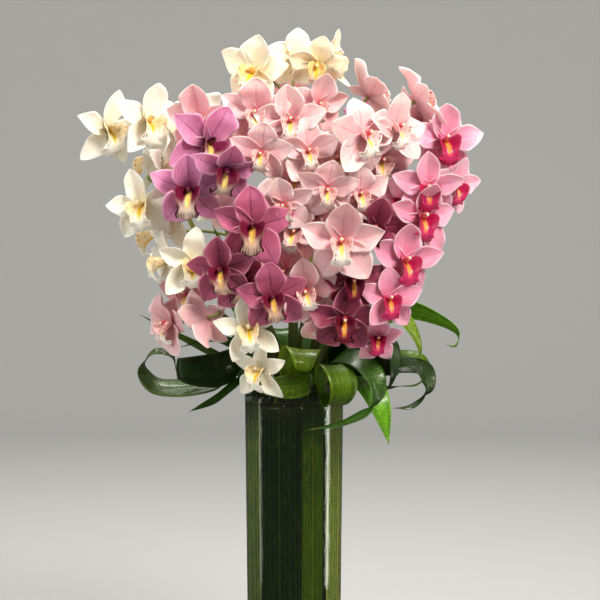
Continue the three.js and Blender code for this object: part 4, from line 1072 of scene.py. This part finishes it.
# The strip and the edge light stand for tall windows: they show in gloss and light nothing else
LIGHTS = [
    {"name": "key_light", "place": (1.0, -1.7, 2.1), "size": (0.8, 0.8), "power": 80, "colour": "fff6ea"},
    {"name": "strip_light", "place": (0.78, -0.05, 0.52), "size": (0.13, 1.02), "power": 2.2,
     "colour": "fffaf2", "gloss": True},
    {"name": "edge_light", "place": (-0.78, -0.05, 0.52), "size": (0.06, 1.02), "power": 0.4,
     "colour": "fffaf2", "gloss": True},
    {"name": "fill_light", "place": (-1.8, -1.3, 1.7), "size": (1.0, 1.0), "power": 30, "colour": "fffaf4"},
    {"name": "top_light", "place": (-0.2, 0.4, 2.4), "size": (1.2, 1.0), "power": 36, "colour": "fffcf8"},
    {"name": "wall_light", "place": (0.0, 1.0, 3.4), "size": (3.0, 1.0), "power": 110, "colour": "fffefb",
     "target": (0.0, 3.2, 0.8)},
]


def point_at(thing, target):
    """Turns a lamp or a camera toward a place."""
    way = np.array(target) - np.array(thing.location)
    flat = math.hypot(way[0], way[1])
    thing.rotation_euler = (math.atan2(flat, -way[2]), 0, math.atan2(-way[0], way[1]))


def build_floor(material):
    """A round floor that bends up into a backdrop all round. The glass neither mirrors nor shows it, so that
    the vase stays deep green."""
    flat, bend = BACKDROP["flat"], BACKDROP["bend"]
    profile = [(BACKDROP["hole"], 0.0), *rounded((flat, bend), bend, -90, 0, 12)]
    profile.append((flat + bend, BACKDROP["height"]))
    rings = turned(profile)
    index = np.arange(rings.shape[0] * TURNED_SIDES).reshape(rings.shape[:2])
    faces = quads(np.hstack([index, index[:, :1]]))
    mesh = bpy.data.meshes.new("floor_sweep")
    mesh.from_pydata(rings.reshape(-1, 3).tolist(), [], faces)
    mesh.polygons.foreach_set("use_smooth", [True] * len(faces))
    mesh.materials.append(material)
    floor = bpy.data.objects.new("floor_sweep", mesh)
    floor.visible_glossy = False
    floor.visible_transmission = False
    bpy.context.scene.collection.objects.link(floor)


def build_lights():
    for row in LIGHTS:
        lamp = bpy.data.lights.new(row["name"], "AREA")
        lamp.shape = "RECTANGLE"
        lamp.size, lamp.size_y = row["size"]
        lamp.energy = row["power"]
        lamp.color = linear(row["colour"])
        thing = bpy.data.objects.new(row["name"], lamp)
        thing.location = row["place"]
        thing.visible_camera = False
        thing.visible_diffuse = not row.get("gloss", False)
        point_at(thing, row.get("target", LAMP_TARGET))
        bpy.context.scene.collection.objects.link(thing)
    world = bpy.data.worlds.new("soft_room")
    world.use_nodes = True
    sky = world.node_tree.nodes["Background"]
    sky.inputs["Color"].default_value = (*linear(WORLD["colour"]), 1)
    sky.inputs["Strength"].default_value = WORLD["strength"]
    bpy.context.scene.world = world
    bpy.context.scene.view_settings.view_transform = "Standard"


def build_camera():
    data = bpy.data.cameras.new("camera")
    data.angle = math.radians(CAMERA_ANGLE)
    data.clip_end = CAMERA_REACH
    camera = bpy.data.objects.new("camera", data)
    camera.location = CAMERA_PLACE
    point_at(camera, CAMERA_TARGET)
    bpy.context.scene.collection.objects.link(camera)
    bpy.context.scene.camera = camera


# Operators and panel

class BuildVase(bpy.types.Operator):
    """Build the glass vase"""
    bl_idname = "orchids.build_vase"
    bl_label = "Glass Vase"

    def execute(self, context):
        build_vase(context.scene.orchid_sizes)
        return {"FINISHED"}


class BuildWater(bpy.types.Operator):
    """Build the water in the vase"""
    bl_idname = "orchids.build_water"
    bl_label = "Water"

    def execute(self, context):
        build_water(context.scene.orchid_sizes)
        return {"FINISHED"}


class BuildLinings(bpy.types.Operator):
    """Build the leaves that line the glass"""
    bl_idname = "orchids.build_linings"
    bl_label = "Lining Leaves"

    def execute(self, context):
        numbers = {"Roughness": 0.6, "Specular IOR Level": 0.05}
        materials = {name: leaf_material("wet_leaf_" + name, linear(code), numbers, 8)
                     for name, code in LINING_SHADES.items()}
        for liner in LINERS:
            build_liner(liner, context.scene.orchid_sizes, materials[liner["shade"]])
        return {"FINISHED"}


class BuildCollar(bpy.types.Operator):
    """Build the looped strap leaves of the collar"""
    bl_idname = "orchids.build_collar"
    bl_label = "Collar Leaves"

    def execute(self, context):
        colours = context.scene.orchid_colours
        # painted reflection: the gloss is tinted green for the green leaves around that it would mirror
        numbers = {"Roughness": 0.36, "Specular IOR Level": 0.3, "Specular Tint": (0.75, 1.0, 0.55, 1.0),
                   "Coat Weight": 0.3, "Coat Roughness": 0.12}
        materials = {shade: leaf_material(f"waxed_leaf_{shade}", tuple(getattr(colours, shade)), numbers, 3)
                     for shade in ("young", "bright", "mid", "dark", "deep", "grey")}
        for leaf in [*LEAVES, *back_loops()]:
            build_leaf(leaf, context.scene.orchid_sizes, materials[leaf["shade"]])
        return {"FINISHED"}


class BuildSprays(bpy.types.Operator):
    """Build the cymbidium sprays"""
    bl_idname = "orchids.build_sprays"
    bl_label = "Sprays"

    def execute(self, context):
        colours = context.scene.orchid_colours
        stem = stem_material(tuple(colours.stem))
        finishes = {}
        for kind in KINDS:
            petal = petal_material(kind, tuple(getattr(colours, kind)))
            finishes[kind] = [petal, lip_material(kind), column_material(kind), stem]
        for seed, spray in enumerate(SPRAYS):
            build_spray(spray, seed, context.scene.orchid_sizes, finishes[spray["kind"]])
        return {"FINISHED"}


class BuildStage(bpy.types.Operator):
    """Build the floor, the lights and the camera"""
    bl_idname = "orchids.build_stage"
    bl_label = "Stage"

    def execute(self, context):
        build_floor(floor_material(tuple(context.scene.orchid_colours.floor)))
        build_lights()
        build_camera()
        return {"FINISHED"}


OPERATORS = [BuildVase, BuildWater, BuildLinings, BuildCollar, BuildSprays, BuildStage]


class OrchidPanel(bpy.types.Panel):
    """Lists the steps that build the arrangement"""
    bl_idname = "VIEW3D_PT_orchids"
    bl_label = "Cymbidium Vase"
    bl_space_type = "VIEW_3D"
    bl_region_type = "UI"
    bl_category = "Orchids"

    def draw(self, context):
        for group in (context.scene.orchid_sizes, context.scene.orchid_colours):
            for name in group.bl_rna.properties.keys():
                if name not in ("rna_type", "name"):
                    self.layout.prop(group, name)
        for operator in OPERATORS:
            self.layout.operator(operator.bl_idname)


CLASSES = [OrchidSizes, OrchidColours, *OPERATORS, OrchidPanel]


def register():
    for kind in CLASSES:
        bpy.utils.register_class(kind)
    bpy.types.Scene.orchid_sizes = bpy.props.PointerProperty(type=OrchidSizes)
    bpy.types.Scene.orchid_colours = bpy.props.PointerProperty(type=OrchidColours)


def unregister():
    del bpy.types.Scene.orchid_sizes
    del bpy.types.Scene.orchid_colours
    for kind in reversed(CLASSES):
        bpy.utils.unregister_class(kind)


def main():
    register()
    bpy.ops.orchids.build_vase()
    bpy.ops.orchids.build_water()
    bpy.ops.orchids.build_linings()
    bpy.ops.orchids.build_collar()
    bpy.ops.orchids.build_sprays()
    bpy.ops.orchids.build_stage()


if __name__ == "__main__":
    main()
